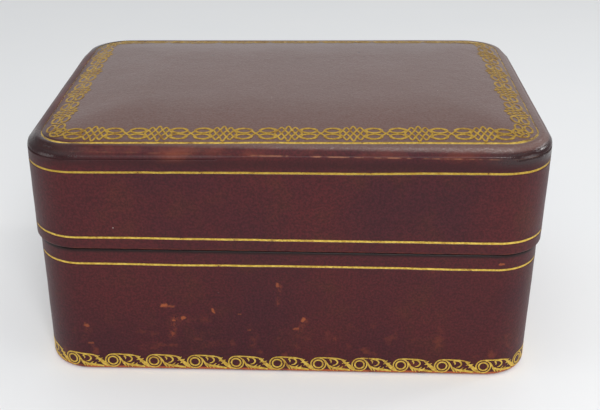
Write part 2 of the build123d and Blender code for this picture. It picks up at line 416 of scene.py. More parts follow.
def bevel_back(points, direction):
    """Keeps points behind the axis off the other half: direction is 1 on the lid."""
    behind = np.clip(points[:, 1] - AXIS_Y, 0, None)
    limit = AXIS_Z + direction * (BEVEL_GAP * (behind > 0) + behind * BEVEL_SLOPE)
    kept = points.copy()
    beyond = (behind > 0) & (direction * (limit - points[:, 2]) > 0)
    kept[beyond, 2] = limit[beyond]
    return kept


# %% Closing the skin
def skin_object(name, outer, inner, direction, capped):
    """Leather with a true thickness: outer and inner rings share the first ring."""
    size = len(STATIONS)
    outer = [bevel_back(settle(r, STATIONS[:, 2], STATIONS[:, 3]), direction) for r in outer]
    inner = [bevel_back(r, direction) for r in inner]
    points = np.vstack(outer + inner)
    faces = ring_faces(len(outer), size)
    start = len(outer) * size
    back = [0] + list(range(start, start + len(inner) * size, size))
    for here, there in zip(back, back[1:]):
        for i in range(size):
            j = (i + 1) % size
            faces.append((here + i, there + i, there + j, here + j))
    if capped:
        for ring_start, flip in (((len(outer) - 1) * size, False), (back[-1], True)):
            centre = len(points)
            points = np.vstack([points, points[ring_start : ring_start + size].mean(0)])
            for i in range(size):
                face = (ring_start + i, ring_start + (i + 1) % size, centre)
                faces.append(face[::-1] if flip else face)
    else:
        last_outer = (len(outer) - 1) * size
        for i in range(size):
            j = (i + 1) % size
            faces.append((last_outer + i, last_outer + j, back[-1] + j, back[-1] + i))
    return make_object(name, points, faces)


def lowered(points, amount):
    moved = points.copy()
    moved[:, 2] -= amount
    return moved


lid_inner = [ring(TURN_IN_INSET - SKIN, z) for z in (TURN_IN_TOP, LID_RIM + SKIN)]
lid_inner += [ring(SKIN, z) for z in (LID_RIM + SKIN, 48.0, 57.0, CREASE - 0.9)]
lid_inner += [lowered(crown_ring(VALLEY_INSET + 0.3), SKIN)]
lid_inner += [lowered(crown_ring(VALLEY_INSET + i), SKIN) for i in (4, 8, 12, 16, 20, CROWN_RUN)]
lid_skin = skin_object("lid_skin", lid_rings, lid_inner, 1, capped=True)
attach(lid_skin, "lid")
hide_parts("lid_leather")
print("lid skin", len(lid_skin.data.vertices), "points")

# %% [markdown]
# ## What the top's leather lies on
#
# The lid is a little out of true, and its board and wadding lean with it, or they would come
# through the leather on the low side. Each is a solid of rings with both ends closed. The
# board is flat below, where the silk cushion is glued, and bevelled to the shoulder above.

# %% Lid board and wadding
def solid_of_rings(name, rings, node):
    """A solid from a low ring up to a high one, both ends closed by a fan."""
    size = len(STATIONS)
    last = (len(rings) - 1) * size
    points = np.vstack(rings + [rings[0].mean(0), rings[-1].mean(0)])
    faces = ring_faces(len(rings), size)
    for i in range(size):
        j = (i + 1) % size
        faces.append((j, i, len(points) - 2))
        faces.append((last + i, last + j, len(points) - 1))
    piece = make_object(name, points, faces, smooth=False)
    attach(piece, "lid")
    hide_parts(node)
    return piece


def leaning(points):
    moved = points.copy()
    moved[:, 2] += out_of_true(points[:, 0], points[:, 2])
    return moved


BOARD_FOOT = box_mm("lid_board")[0][2]
board_rings = [ring(SKIN, BOARD_FOOT), leaning(ring(SKIN, CREASE - SKIN))]
board_rings.append(leaning(ring(VALLEY_INSET + 0.2, VALLEY - SKIN - 0.1)))
lid_board = solid_of_rings("lid_top_board", board_rings, "lid_board")

wadding_rings = [leaning(ring(VALLEY_INSET + 1.5, VALLEY - SKIN - 0.05))]
for inset in (3, 5, 8, 12, 16, 20, CROWN_RUN):
    wadding_rings.append(leaning(lowered(crown_ring(VALLEY_INSET + inset), SKIN + 0.15)))
wadding = solid_of_rings("cotton_wadding", wadding_rings, "crown_wadding")

# %% [markdown]
# ## The base's leather
#
# The base is the same work upside down: from the turned-in edge under the case, round the
# foot, up the wall and over the rim, where it stops against the lining's collar. It stands
# 0.8 mm inside the lid, so the lid's rim casts the thin dark line that parts the two; a painted
# shadow on the base's rim, in its finish, darkens that line.

# %% Rings of the base's skin
BASE_INSET = 0.8
BASE_FOOT, BASE_RIM = base_low[2], base_high[2]
COLLAR_INSET, UNDER_INSET = 5.2, 9.6
FOOT_ROUND, BASE_RIM_ROUND = 0.6, 0.6


def base_outer_rings():
    rings = [ring(inset, BASE_FOOT) for inset in (UNDER_INSET, 6.0, 3.0)]
    foot_middle = (BASE_INSET + FOOT_ROUND, BASE_FOOT + FOOT_ROUND)
    foot = rounding(foot_middle, FOOT_ROUND, -90, 0, 8)
    rings += [ring(*p) for p in foot]
    rings += [ring(BASE_INSET, z) for z in np.linspace(2.4, 30.2, 20)]
    rings += groove_rings(**fillet_lines["gilt_line_base"])
    rings += [ring(BASE_INSET, z) for z in (32.9, 34.0, 34.9)]
    rim_middle = (BASE_INSET + BASE_RIM_ROUND, BASE_RIM - BASE_RIM_ROUND)
    rim = rounding(rim_middle, BASE_RIM_ROUND, 0, 90, 7)
    rings += [ring(*p) for p in rim]
    rings += [ring(inset, BASE_RIM) for inset in (2.6, 4.0, COLLAR_INSET)]
    return rings


base_wood = BASE_INSET + SKIN
base_inner = [ring(UNDER_INSET, BASE_FOOT + SKIN), ring(base_wood, BASE_FOOT + SKIN)]
base_inner += [ring(base_wood, z) for z in (12.0, 24.0, BASE_RIM - SKIN)]
base_inner += [ring(COLLAR_INSET, BASE_RIM - SKIN)]
base_skin = skin_object("base_skin", base_outer_rings(), base_inner, -1, capped=False)
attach(base_skin, "base")
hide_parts("base_leather")
print("base skin", len(base_skin.data.vertices), "points")

# %% [markdown]
# ## Seats for the hinges
#
# Each hinge leaf lies flush in a pocket cut through the leather. The pocket is a small box
# and a round channel for the barrel, taken out with a Boolean modifier. The CAD frame's hinge
# nodes say where.

# %% Cutting the pockets
def cut_away(target, cutter):
    cut = target.modifiers.new("pocket", "BOOLEAN")
    cut.operation = "DIFFERENCE"
    cut.solver = "EXACT"
    cut.object = cutter
    bpy.context.view_layer.objects.active = target
    bpy.ops.object.modifier_apply(modifier=cut.name)
    bpy.data.objects.remove(cutter)


def block_object(name, low, high):
    corners = [[(low, high)[bit][axis] for axis, bit in enumerate(b)] for b in np.ndindex(2, 2, 2)]
    faces = [(0, 1, 3, 2), (4, 6, 7, 5), (0, 4, 5, 1), (2, 3, 7, 6), (0, 2, 6, 4), (1, 5, 7, 3)]
    return make_object(name, corners, faces, smooth=False)


def channel_object(name, x_low, x_high, radius):
    """A round bar along the hinge axis."""
    count = 32
    points, faces = [], []
    for x in (x_low, x_high):
        for i in range(count):
            angle = 2 * math.pi * i / count
            points.append((x, AXIS_Y + radius * math.cos(angle), AXIS_Z + radius * math.sin(angle)))
    for i in range(count):
        j = (i + 1) % count
        faces.append((i, j, count + j, count + i))
    faces += [tuple(range(count))[::-1], tuple(range(count, 2 * count))]
    return make_object(name, points, faces, smooth=False)


SLACK = 0.15
CHANNEL_RADIUS = 1.15
POCKET_DEPTH, PAST_AXIS = 1.0, 0.05
for side in ("left", "right"):
    for skin, leaf in ((base_skin, "hinge_lower_leaf_"), (lid_skin, "hinge_upper_leaf_")):
        low, high = box_mm(leaf + side)
        leaf_low = AXIS_Z - (POCKET_DEPTH if skin is base_skin else PAST_AXIS)
        leaf_high = AXIS_Z + (PAST_AXIS if skin is base_skin else POCKET_DEPTH)
        pocket_low = (low[0] - SLACK, low[1] - SLACK, leaf_low)
        pocket_high = (high[0] + SLACK, AXIS_Y, leaf_high)
        cut_away(skin, block_object("pocket", pocket_low, pocket_high))
        channel = channel_object("channel", low[0] - SLACK, high[0] + SLACK, CHANNEL_RADIUS)
        cut_away(skin, channel)
print("pockets cut; base skin now", len(base_skin.data.vertices), "points")

# %% [markdown]
# ## Gold in the grooves
#
# The gold of a fillet line is a ribbon in the groove's floor. It is its own piece, a closed
# strip a few hundredths thick, because gold leaf really is another material laid on the
# leather, and its breaks and dull stretches belong to it alone.

# %% Ribbons for the fillet lines
LEAF = 0.05
LEAF_LIFT = 0.012
line_section = [
    (-0.40, LEAF_LIFT - LINE_DEPTH * 0.55),
    (-0.27, LEAF_LIFT - LINE_DEPTH),
    (0.27, LEAF_LIFT - LINE_DEPTH),
    (0.40, LEAF_LIFT - LINE_DEPTH * 0.55),
]


def closed_line_section():
    under = [(step, lift - LEAF) for step, lift in line_section[::-1]]
    return line_section + under


def gilt_ribbon(name, rings, body):
    """A closed ribbon of gold from rings of its section, moved as the leather is."""
    rings = [settle(points, STATIONS[:, 2], STATIONS[:, 3]) for points in rings]
    faces = ring_faces(len(rings), len(STATIONS), closed=True)
    gilt = make_object(name, np.vstack(rings), faces)
    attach(gilt, body)
    return gilt


def wall_line(name, height, inset, number, body):
    rings = []
    for step, lift in closed_line_section():
        points = ring(inset - lift, height + step * LINE_WIDTH)
        points[:, 2] += [wander(x, y, number) for x, y in points[:, :2]]
        rings.append(points)
    return gilt_ribbon(name, rings, body)


top_line = [top_line_ring(step, lift) for step, lift in closed_line_section()]
gilt_pieces = [gilt_ribbon("gilt_line_top", top_line, "lid")]
for name, line in fillet_lines.items():
    gilt_pieces.append(wall_line(name, body="base" if name.endswith("base") else "lid", **line))
print("gilt lines", [g.name for g in gilt_pieces])

# %% [markdown]
# ## Rolls: patterned wheels
#
# A roll is a brass wheel with an ornament cut round its rim, so it prints the same motif over
# and over. That makes it a good thing to build from strokes: each motif is drawn once, flat, as
# a few strokes in millimetres, and then printed round the case. A stroke is a path with a
# width that may swell and taper, like a pen's. The flat drawing is laid on the leather by one
# function for the wall and another for the padded top.

# %% Strokes
def flow(points, per_span=6):
    """A smooth path through given points (Catmull-Rom)."""
    points = np.array(points, float)
    padded = np.vstack([2 * points[0] - points[1], points, 2 * points[-1] - points[-2]])
    path = []
    for a, b, c, d in zip(padded, padded[1:], padded[2:], padded[3:]):
        for t in np.arange(per_span) / per_span:
            path.append(
                0.5
                * (
                    2 * b
                    + (c - a) * t
                    + (2 * a - 5 * b + 4 * c - d) * t**2
                    + (3 * b - a - 3 * c + d) * t**3
                )
            )
    path.append(points[-1])
    return np.array(path)


def oval(centre, reach_u, reach_v, count=26):
    """A closed oval path."""
    angles = 2 * math.pi * np.arange(count) / count
    return np.column_stack(
        [centre[0] + reach_u * np.cos(angles), centre[1] + reach_v * np.sin(angles)]
    )


class Stroke:
    """A path in the flat, its widths from start to end, and whether it closes."""

    def __init__(self, path, widths, closed=False):
        self.path = np.asarray(path, float)
        self.closed = closed
        share = np.linspace(0, 1, len(self.path))
        self.widths = np.interp(share, np.linspace(0, 1, len(widths)), widths)

    def edges(self):
        """Left and right edges of the stroke."""
        if self.closed:
            along = np.roll(self.path, -1, 0) - np.roll(self.path, 1, 0)
        else:
            along = np.gradient(self.path, axis=0)
        along /= np.maximum(np.linalg.norm(along, axis=1), 1e-9)[:, None]
        across = np.column_stack([-along[:, 1], along[:, 0]]) * self.widths[:, None] / 2
        return self.path + across, self.path - across


PRINT_TOP = 0.03
PRINT_FOOT = PRINT_TOP - LEAF


def print_strokes(name, strokes, lay, body):
    """Lays flat strokes on the leather as closed gold strips: lay maps (u, v, lift) to space."""
    points, faces = [], []
    for stroke in strokes:
        left, right = stroke.edges()
        start, count = len(points), len(left)
        for l, r in zip(left, right):
            points += [lay(*r, PRINT_TOP), lay(*l, PRINT_TOP)]
            points += [lay(*l, PRINT_FOOT), lay(*r, PRINT_FOOT)]
        for i in range(count if stroke.closed else count - 1):
            here, there = start + 4 * i, start + 4 * ((i + 1) % count)
            for k in range(4):
                m = (k + 1) % 4
                faces.append((here + k, there + k, there + m, here + m))
        if not stroke.closed:
            last = start + 4 * (count - 1)
            faces += [(start, start + 1, start + 2, start + 3), (last + 3, last + 2, last + 1, last)]
    gilt = make_object(name, points, faces, smooth=False)
    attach(gilt, body)
    print(name, len(strokes), "strokes,", len(faces), "faces")
    return gilt


# %% [markdown]
# ### The scroll roll round the foot
#
# Each print is a ring within a ring, a stem that leaves the ring's top and curls under, and a
# serrated leaf that swells into the next ring. The numbers are millimetres from the ring's
# centre, on a band 4.2 mm high.

# %% Drawing the scroll
SCROLL_FOOT, SCROLL_HEIGHT = 0.85, 4.2
SCROLL_WEIGHT = 0.80
SCROLL_REPEATS = 38
SCROLL_FIRST = -2.5
scroll_pitch = outline_length(BASE_INSET) / SCROLL_REPEATS


def scroll_motif():
    middle = SCROLL_HEIGHT / 2
    strokes = [
        Stroke(oval((0, middle), 1.9, 1.9, 30), [0.42], closed=True),
        Stroke(oval((0, middle), 1.2, 1.2, 24), [0.5], closed=True),
        Stroke(flow([(-1.2, 3.6), (0.3, 4.05), (2.6, 4.0), (4.8, 3.85), (6.7, 3.45)]),
               [0.2, 0.4, 0.45, 0.5, 0.25]),
        Stroke(flow([(3.0, 3.75), (4.3, 3.6), (4.95, 2.75), (4.5, 1.95), (3.7, 1.7)]),
               [0.3, 0.5, 0.5, 0.45, 0.2]),
        Stroke(flow([(2.9, 3.6), (3.3, 3.0), (3.25, 2.5)], 4), [0.5, 0.45, 0.15]),
        Stroke(flow([(1.7, 3.3), (2.2, 2.4), (2.75, 1.3), (3.3, 0.3)]), [0.3, 0.45, 0.7, 0.3]),
        Stroke(flow([(2.7, 1.7), (4.0, 0.95), (6.0, 0.65), (8.2, 0.3)]), [0.4, 0.8, 0.85, 0.6]),
        Stroke(flow([(5.9, 3.55), (7.1, 2.45), (8.4, 1.2), (9.4, 0.35)]), [0.3, 0.85, 1.35, 0.7]),
        Stroke(flow([(-1.75, 1.3), (-1.1, 0.45), (0.2, 0.2)], 4), [0.7, 0.5, 0.3]),
    ]
    for start, end in [
        ((3.6, 1.0), (4.0, 0.1)),
        ((4.6, 0.8), (5.0, 0.05)),
        ((4.7, 0.9), (5.5, 1.7)),
        ((5.7, 0.8), (6.3, 1.45)),
        ((6.9, 2.7), (6.1, 2.35)),
        ((7.5, 2.1), (6.8, 1.55)),
        ((6.6, 3.1), (7.2, 3.5)),
        ((7.3, 2.5), (8.0, 2.8)),
    ]:
        strokes.append(Stroke(flow([start, end], 3), [0.6, 0.12]))
    return strokes


def lay_on_foot(u, v, lift):
    """A point on the base's wall, u round the case from the front's middle and v up it."""
    x, y, facing_x, facing_y = outline_place(u, BASE_INSET)
    height = SCROLL_FOOT + v + 0.5 * wander(x, y, 5)
    drop = max(BASE_FOOT + FOOT_ROUND - height, 0)
    tuck = FOOT_ROUND - math.sqrt(max(FOOT_ROUND**2 - drop**2, 0))
    out = swell((x, y, height)) + lift - tuck
    return x + facing_x * out, y + facing_y * out, height


scroll_strokes = []
for repeat in range(SCROLL_REPEATS):
    for stroke in scroll_motif():
        moved = Stroke(stroke.path + [SCROLL_FIRST + repeat * scroll_pitch, 0], [1], stroke.closed)
        moved.widths = stroke.widths * SCROLL_WEIGHT
        scroll_strokes.append(moved)
gilt_pieces.append(print_strokes("gilt_scroll_roll", scroll_strokes, lay_on_foot, "base"))

# %% [markdown]
# ### The knot roll on the top
#
# An interlace. Four strands cross in a close lattice with three peaks above and below; two of
# them run on round a pair of ovals and cross at a waist before the next print. Drawn as
# separate strands that pass over each other, it is a handful of smooth paths. The corners are
# turned with a ringed knot.

# %% Drawing the knot
KNOT_PITCH = 15.4
KNOT_INSET, CORNER_KNOT_INSET = 7.35, 8.45
KNOT_LIFT = 0.045
FRONT_REPEATS, SIDE_REPEATS = 7, 4
KNOT_LINE = 0.44
LATTICE = 1.66


def mirrored(points):
    """The points and the same ones upside down."""
    points = np.array(points, float)
    return points, points * [1, -1]


def oval_pair(centre):
    return [
        Stroke(oval((centre, 1.2 * side), 1.85, 0.92), [KNOT_LINE * 1.15], closed=True)
        for side in (-1, 1)
    ]


def knot_motif():
    strokes = oval_pair(-4.95) + oval_pair(4.95)
    half = LATTICE / 2
    long_half = [(-7.7, 0), (-7.0, 0.7), (-6.2, 1.65), (-5.0, 2.2), (-3.7, 2.05),
                 (-3 * half, 1.25), (-2 * half, 0), (-half, -1.35)]
    long = long_half + [(0, -3.05)] + [(-u, v) for u, v in reversed(long_half)]
    short = [(-3.3, 0), (-3 * half, -1.25), (-2 * half, -2.5), (-half, -1.35), (0, 0),
             (half, 1.35), (2 * half, 2.5), (3 * half, 1.25), (3.3, 0)]
    for drawing in (long, short):
        for points in mirrored(drawing):
            strokes.append(Stroke(flow(points, 5), [KNOT_LINE]))
    return strokes


def corner_motif():
    strokes = [Stroke(oval((0, 0), r, r, 24), [KNOT_LINE], closed=True) for r in (0.75, 1.95)]
    for quarter in range(4):
        angle = math.pi / 4 + quarter * math.pi / 2
        centre = (1.25 * math.cos(angle), 1.25 * math.sin(angle))
        strokes.append(Stroke(oval(centre, 0.85, 0.85, 16), [0.3], closed=True))
    return strokes


def lay_on_top(x, y, lift):
    """A point on the padded top, lifted clear of the dips between the leather's points."""
    height = float(crown_height(x, y))
    raised = lift + KNOT_LIFT
    return x, y, height + swell((x, y, height)) + out_of_true(x, height) + raised


def turned(stroke, middle, quarter):
    """A stroke turned by quarter turns and moved to a place on the top."""
    angle = quarter * math.pi / 2
    turn = np.array([[math.cos(angle), math.sin(angle)], [-math.sin(angle), math.cos(angle)]])
    moved = Stroke(stroke.path @ turn + middle, [1], stroke.closed)
    moved.widths = stroke.widths
    return moved


knot_strokes = []
band_x, band_y = HALF_X - KNOT_INSET, HALF_Y - KNOT_INSET
for quarter, reach, count in ((0, band_y, FRONT_REPEATS), (1, band_x, SIDE_REPEATS),
                              (2, band_y, FRONT_REPEATS), (3, band_x, SIDE_REPEATS)):
    outward = np.array([(0, -1), (1, 0), (0, 1), (-1, 0)][quarter], float)
    along = np.array([-outward[1], outward[0]])
    for repeat in range(count):
        middle = outward * reach + along * (repeat - (count - 1) / 2) * KNOT_PITCH
        knot_strokes += [turned(s, middle, quarter) for s in knot_motif()]
    if count == SIDE_REPEATS:
        for end in (-1, 1):
            middle = outward * reach + along * end * (count * KNOT_PITCH / 2)
            knot_strokes += [turned(s, middle, quarter) for s in oval_pair(end * 2.1)]
for side_x in (-1, 1):
    for side_y in (-1, 1):
        reach_x, reach_y = HALF_X - CORNER_KNOT_INSET, HALF_Y - CORNER_KNOT_INSET
        middle = np.array([side_x * reach_x, side_y * reach_y])
        knot_strokes += [turned(s, middle, 0) for s in corner_motif()]
gilt_pieces.append(print_strokes("gilt_knot_roll", knot_strokes, lay_on_top, "lid"))

# %% [markdown]
# ## Padded velvet and silk
#
# The rolls that hold rings, the pad in the well and the cushion in the lid are cloth over
# wadding. A box with round edges would be the right size and the wrong shape: cloth drawn over
# a filling bulges between its edges and pulls in at its corners. So each pad starts as a box a
# little too small, gets an even net of faces from a voxel remesh, and is blown up by Blender's
# cloth with a little pressure. Cloth is tuned for things a metre across, so a pad is
# simulated ten times its size and brought back afterwards. Nothing may leave the space that
# the CAD solid holds, so the result is held inside it.

# %% Blowing up a pad
SIM_SCALE = 10
SIM_FRAMES = 20
PRESSURE = 4.0
HOLD_SLACK = 0.05


def rounded_block(name, low, high, corner):
    """A soft-edged box in millimetres as the start of a pad."""
    piece = block_object(name, low, high)
    bevel = piece.modifiers.new("edges", "BEVEL")
    bevel.width = corner * MM
    bevel.segments = 4
    bpy.context.view_layer.objects.active = piece
    bpy.ops.object.modifier_apply(modifier=bevel.name)
    return piece


def apply_all(piece):
    bpy.context.view_layer.objects.active = piece
    for modifier in list(piece.modifiers):
        bpy.ops.object.modifier_apply(modifier=modifier.name)


def net(piece, voxel):
    """An even net of faces, voxel millimetres apart."""
    remesh = piece.modifiers.new("net", "REMESH")
    remesh.mode = "VOXEL"
    remesh.voxel_size = voxel * MM
    apply_all(piece)


def blow_up(piece, voxel, cap):
    """Swells a pad by cloth under pressure; cap is the most that a point may move."""
    mesh = piece.data
    middle = np.mean([v.co[:] for v in mesh.vertices], axis=0)
    for vertex in mesh.vertices:
        vertex.co = (vertex.co - Vector(middle)) * SIM_SCALE
    net(piece, voxel * SIM_SCALE)
    mesh = piece.data
    before = np.array([v.co[:] for v in mesh.vertices])
    after = before
    cloth = piece.modifiers.new("cloth", "CLOTH")
    cloth.settings.use_pressure = True
    cloth.settings.uniform_pressure_force = PRESSURE
    cloth.settings.quality = 6
    cloth.settings.effector_weights.gravity = 0
    scene = bpy.context.scene
    for frame_number in range(1, SIM_FRAMES + 1):
        scene.frame_set(frame_number)
    seen = piece.evaluated_get(bpy.context.evaluated_depsgraph_get())
    after = np.array([v.co[:] for v in seen.data.vertices])
    piece.modifiers.remove(cloth)
    scene.frame_set(1)
    step = after - before
    length = np.maximum(np.linalg.norm(step, axis=1), 1e-9)[:, None]
    step *= np.minimum(1, cap * SIM_SCALE * MM / length)
    for vertex, place in zip(mesh.vertices, (before + step) / SIM_SCALE + middle):
        vertex.co = place
    return piece


def hold_inside(piece, low, high):
    """Keeps a pad's points inside its CAD solid's box, in millimetres."""
    low, high = (np.array(low) + HOLD_SLACK) * MM, (np.array(high) - HOLD_SLACK) * MM
    for vertex in piece.data.vertices:
        vertex.co = Vector(np.clip(vertex.co, low, high))


def finish_soft(piece):
    smooth = piece.modifiers.new("smooth", "SUBSURF")
    smooth.levels = smooth.render_levels = 1
    apply_all(piece)
    piece.data.shade_smooth()


# %% [markdown]
# ### Ring rolls
#
# Six velvet rolls lie side by side; a ring is pushed into the crease between two. Each is a
# bar with a half-round top. The rounding is put into the points themselves, then the cloth
# fills it out and a slow wave along it keeps the six from being copies.

# %% Rolls
def round_the_top(piece, low, high):
    """Turns a box's top into a half-round ridge that drops at both ends."""
    half = (high[1] - low[1]) / 2
    for vertex in piece.data.vertices:
        x, y, z = vertex.co / MM
        across = min(abs(y - (low[1] + high[1]) / 2) / half, 1)
        end = min(x - low[0], high[0] - x)
        drop = half * (1 - math.sqrt(1 - across**2))
        drop += 1.3 * max(0, 1 - max(end, 0) / 2.2) ** 2
        share = (z - low[2]) / (high[2] - low[2])
        vertex.co.z = (low[2] + share * (high[2] - low[2] - drop)) * MM


ROLL_MARGIN = 0.35
roll_pieces = []
for number in range(1, 7):
    low, high = box_mm(f"ring_roll_{number}")
    roll = rounded_block(f"velvet_roll_{number}", low + ROLL_MARGIN, high - ROLL_MARGIN, 0.8)
    net(roll, 1.0)
    round_the_top(roll, low + ROLL_MARGIN, high - ROLL_MARGIN)
    blow_up(roll, voxel=1.1, cap=0.5)
    for vertex in roll.data.vertices:
        x, y, z = vertex.co / MM
        lift = (z - low[2]) / (high[2] - low[2])
        vertex.co.z += 0.22 * lift * noise.noise(Vector((x / 9, y / 9, number * 5.3))) * MM
    hold_inside(roll, low, high)
    finish_soft(roll)
    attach(roll, "base")
    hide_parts(f"ring_roll_{number}")
    roll_pieces.append(roll)
print("rolls", len(roll_pieces), "with", len(roll_pieces[0].data.vertices), "points each")

# %% [markdown]
# ### The pad in the well and the cushion in the lid
#
# Both are thin pads cut to the rounded corners of their place. The lid's silk is drawn in
# round its edge by a running stitch, so it puckers: small radial waves that die away from the
# edge. They are too fine for the remesh, so they are added after it.

# %% Flat pads
def flat_pad(name, low, high, corner, voxel, cap):
    """A thin pad with rounded plan corners, blown up."""
    low, high = np.array(low, float), np.array(high, float)
    centre, half = (low + high) / 2, (high - low) / 2
    points, plan = [], []
    for tx, ty, nx, ny in STATIONS[::4]:
        plan.append((centre[0] + tx * (half[0] - corner) + corner * nx,
                     centre[1] + ty * (half[1] - corner) + corner * ny))
    for z in (low[2], high[2]):
        points += [(x, y, z) for x, y in plan]
    size = len(plan)
    faces = [tuple(range(size))[::-1], tuple(range(size, 2 * size))]
    faces += [(i, (i + 1) % size, size + (i + 1) % size, size + i) for i in range(size)]
    pad = make_object(name, points, faces)
    blow_up(pad, voxel, cap)
    return pad


well_low, well_high = box_mm("well_pad")
well_cushion = flat_pad("well_cushion", well_low + 0.5, well_high - [0.5, 0.5, 1.3], 4.4, 1.3, 1.3)
for vertex in well_cushion.data.vertices:
    x, y, z = vertex.co / MM
    edge = min(x - well_low[0], well_high[0] - x, y - well_low[1], well_high[1] - y)
    share = (z - well_low[2]) / (well_high[2] - well_low[2])
    vertex.co.z += share * 0.9 * (1 - math.exp(-max(edge, 0) / 5)) * MM
hold_inside(well_cushion, well_low, well_high)
finish_soft(well_cushion)
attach(well_cushion, "base")
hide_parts("well_pad")

# %% The lid's silk cushion
silk_low, silk_high = box_mm("lid_cushion")
lid_pad = flat_pad("lid_silk_cushion", silk_low + [0.5, 0.5, 1.5], silk_high - 0.4, 6.0, 1.5, 1.2)
PUCKER_PITCH = 3.1
for vertex in lid_pad.data.vertices:
    x, y, z = vertex.co / MM
    edge_x, edge_y = silk_high[0] - abs(x), silk_high[1] - abs(y)
    edge = max(min(edge_x, edge_y), 0)
    share = (silk_high[2] - z) / (silk_high[2] - silk_low[2])
    run = y if edge_x < edge_y else x
    stray = 1.6 * noise.noise(Vector((x / 7, y / 7, 2.0)))
    pucker = math.sin(2 * math.pi * (run + stray) / PUCKER_PITCH) * math.exp(-edge / 4.5)
    crown = 1 - math.exp(-edge / 9)
    wave = 0.25 * noise.noise(Vector((x / 16, y / 16, 8.0)))
    vertex.co.z -= share * (1.15 * crown + 0.3 * pucker + wave * crown) * MM
hold_inside(lid_pad, silk_low, silk_high)
finish_soft(lid_pad)
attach(lid_pad, "lid")
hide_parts("lid_cushion")
print("lid cushion", len(lid_pad.data.vertices), "points")

# %% [markdown]
# ### Linings that are pasted down
#
# Velvet is pasted over the raised collar and silk over the lid's inner wall. They are thin
# sheets that follow the same outline, so they are lofted from rings too, with the soft round
# top that velvet makes where it is folded over card.

# %% Collar velvet and wall silk
def lining(name, profile, node, body, ripple):
    """A pasted sheet round the outline: profile is a closed run of (inset, height)."""
    rings = []
    for inset, height in profile:
        points = ring(inset, height)
        for i, (x, y, z) in enumerate(points):
            stray = ripple * noise.noise(Vector((x / 5, y / 5, z / 5)))
            points[i, :2] -= STATIONS[i, 2:] * max(stray, 0)
        rings.append(points)
    faces = ring_faces(len(rings), len(STATIONS), closed=True)
    piece = make_object(name, np.vstack(rings), faces)
    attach(piece, body)
    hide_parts(node)
    return piece


floor_z, collar_top = box_mm("collar_velvet")[0][2], box_mm("collar_velvet")[1][2]
CARD_INSET, VELVET_INSET, LIP_INSET = 6.8, 7.6, 4.7
lip_half = (VELVET_INSET - LIP_INSET) / 2
collar_profile = [(VELVET_INSET, z) for z in (floor_z, 14.0, 24.0, 32.0, 36.0, 37.6)]
collar_profile += [
    (LIP_INSET + lip_half + lip_half * math.cos(a), collar_top - 1.1 + 1.1 * math.sin(a))
    for a in np.radians(np.linspace(10, 170, 13))
]
collar_profile += [(LIP_INSET, 37.6), (LIP_INSET, BASE_RIM + 0.1), (COLLAR_INSET, BASE_RIM + 0.1)]
collar_profile += [(COLLAR_INSET, 38.3), (5.6, 38.62), (6.4, 38.62), (CARD_INSET, 38.3)]
collar_profile += [(CARD_INSET, 30.0), (CARD_INSET, floor_z)]
collar_lining = lining("collar_lining", collar_profile, "collar_velvet", "base", 0.1)

SILK_INSET = 5.05
silk_foot, silk_top = box_mm("lid_wall_silk")[0][2], box_mm("lid_wall_silk")[1][2]
wall_profile = [(TURN_IN_INSET, silk_top), (TURN_IN_INSET, silk_foot + 0.15)]
wall_profile += [(TURN_IN_INSET + 0.2, silk_foot), (SILK_INSET - 0.2, silk_foot)]
wall_profile += [(SILK_INSET, z) for z in [silk_foot + 0.2, *np.linspace(42, 56, 8), silk_top]]
wall_lining = lining("lid_wall_lining", wall_profile, "lid_wall_silk", "lid", 0.12)

# %% [markdown]
# ### The divider
#
# A card wrapped in velvet: soft along its top edge, and not quite straight.

# %% Divider
div_low, div_high = box_mm("divider")
divider_pad = rounded_block("velvet_divider", div_low + 0.1, div_high - 0.1, 1.1)
net(divider_pad, 0.9)
for vertex in divider_pad.data.vertices:
    x, y, z = vertex.co / MM
    vertex.co.z += 0.12 * noise.noise(Vector((x / 8, y / 8, 1.0))) * (z - div_low[2]) / 25 * MM
hold_inside(divider_pad, div_low, div_high)
finish_soft(divider_pad)
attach(divider_pad, "base")
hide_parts("divider")

# %% [markdown]
# ## Finishes as arithmetic
#
# A procedural finish is mostly arithmetic: noises are added, masked, sharpened and mixed. One
# small class lets it be written that way. A Wire holds a socket; adding or multiplying Wires
# makes the Math or Vector Math nodes, and mixing colours makes Mix nodes. Everything else goes
# through one method, Bench.add, which takes a node's type, its settings and its inputs.

# %% Wires and the bench
class Wire:
    """One output socket of a finish, usable in arithmetic."""

    def __init__(self, bench, socket):
        self.bench, self.socket = bench, socket

    def _join(self, operation, first, second):
        vectors = [w for w in (first, second) if isinstance(w, Wire) and w.socket.type == "VECTOR"]
        if vectors:
            kind = "ShaderNodeVectorMath"
            first, second = (
                w if isinstance(w, Wire) or hasattr(w, "__len__") else (w, w, w)
                for w in (first, second)
            )
        else:
            kind = "ShaderNodeMath"
        return self.bench.add(kind, {"operation": operation}, {0: first, 1: second})

    def __add__(self, other):
        return self._join("ADD", self, other)

    __radd__ = __add__

    def __sub__(self, other):
        return self._join("SUBTRACT", self, other)

    def __rsub__(self, other):
        return self._join("SUBTRACT", other, self)

    def __mul__(self, other):
        return self._join("MULTIPLY", self, other)

    def __pow__(self, other):
        return self._join("POWER", self, other)

    def __abs__(self):
        return self.bench.add("ShaderNodeMath", {"operation": "ABSOLUTE"}, {0: self})

    def at_most(self, other):
        return self._join("MINIMUM", self, other)

    def at_least(self, other):
        return self._join("MAXIMUM", self, other)

    def step(self, low, high):
        """0 below low, 1 above high, a smooth rise between; a falling step if low > high."""
        return self.bench.add(
            "ShaderNodeMapRange",
            {"interpolation_type": "SMOOTHSTEP"},
            {"Value": self, "From Min": low, "From Max": high, "To Min": 0, "To Max": 1},
        )


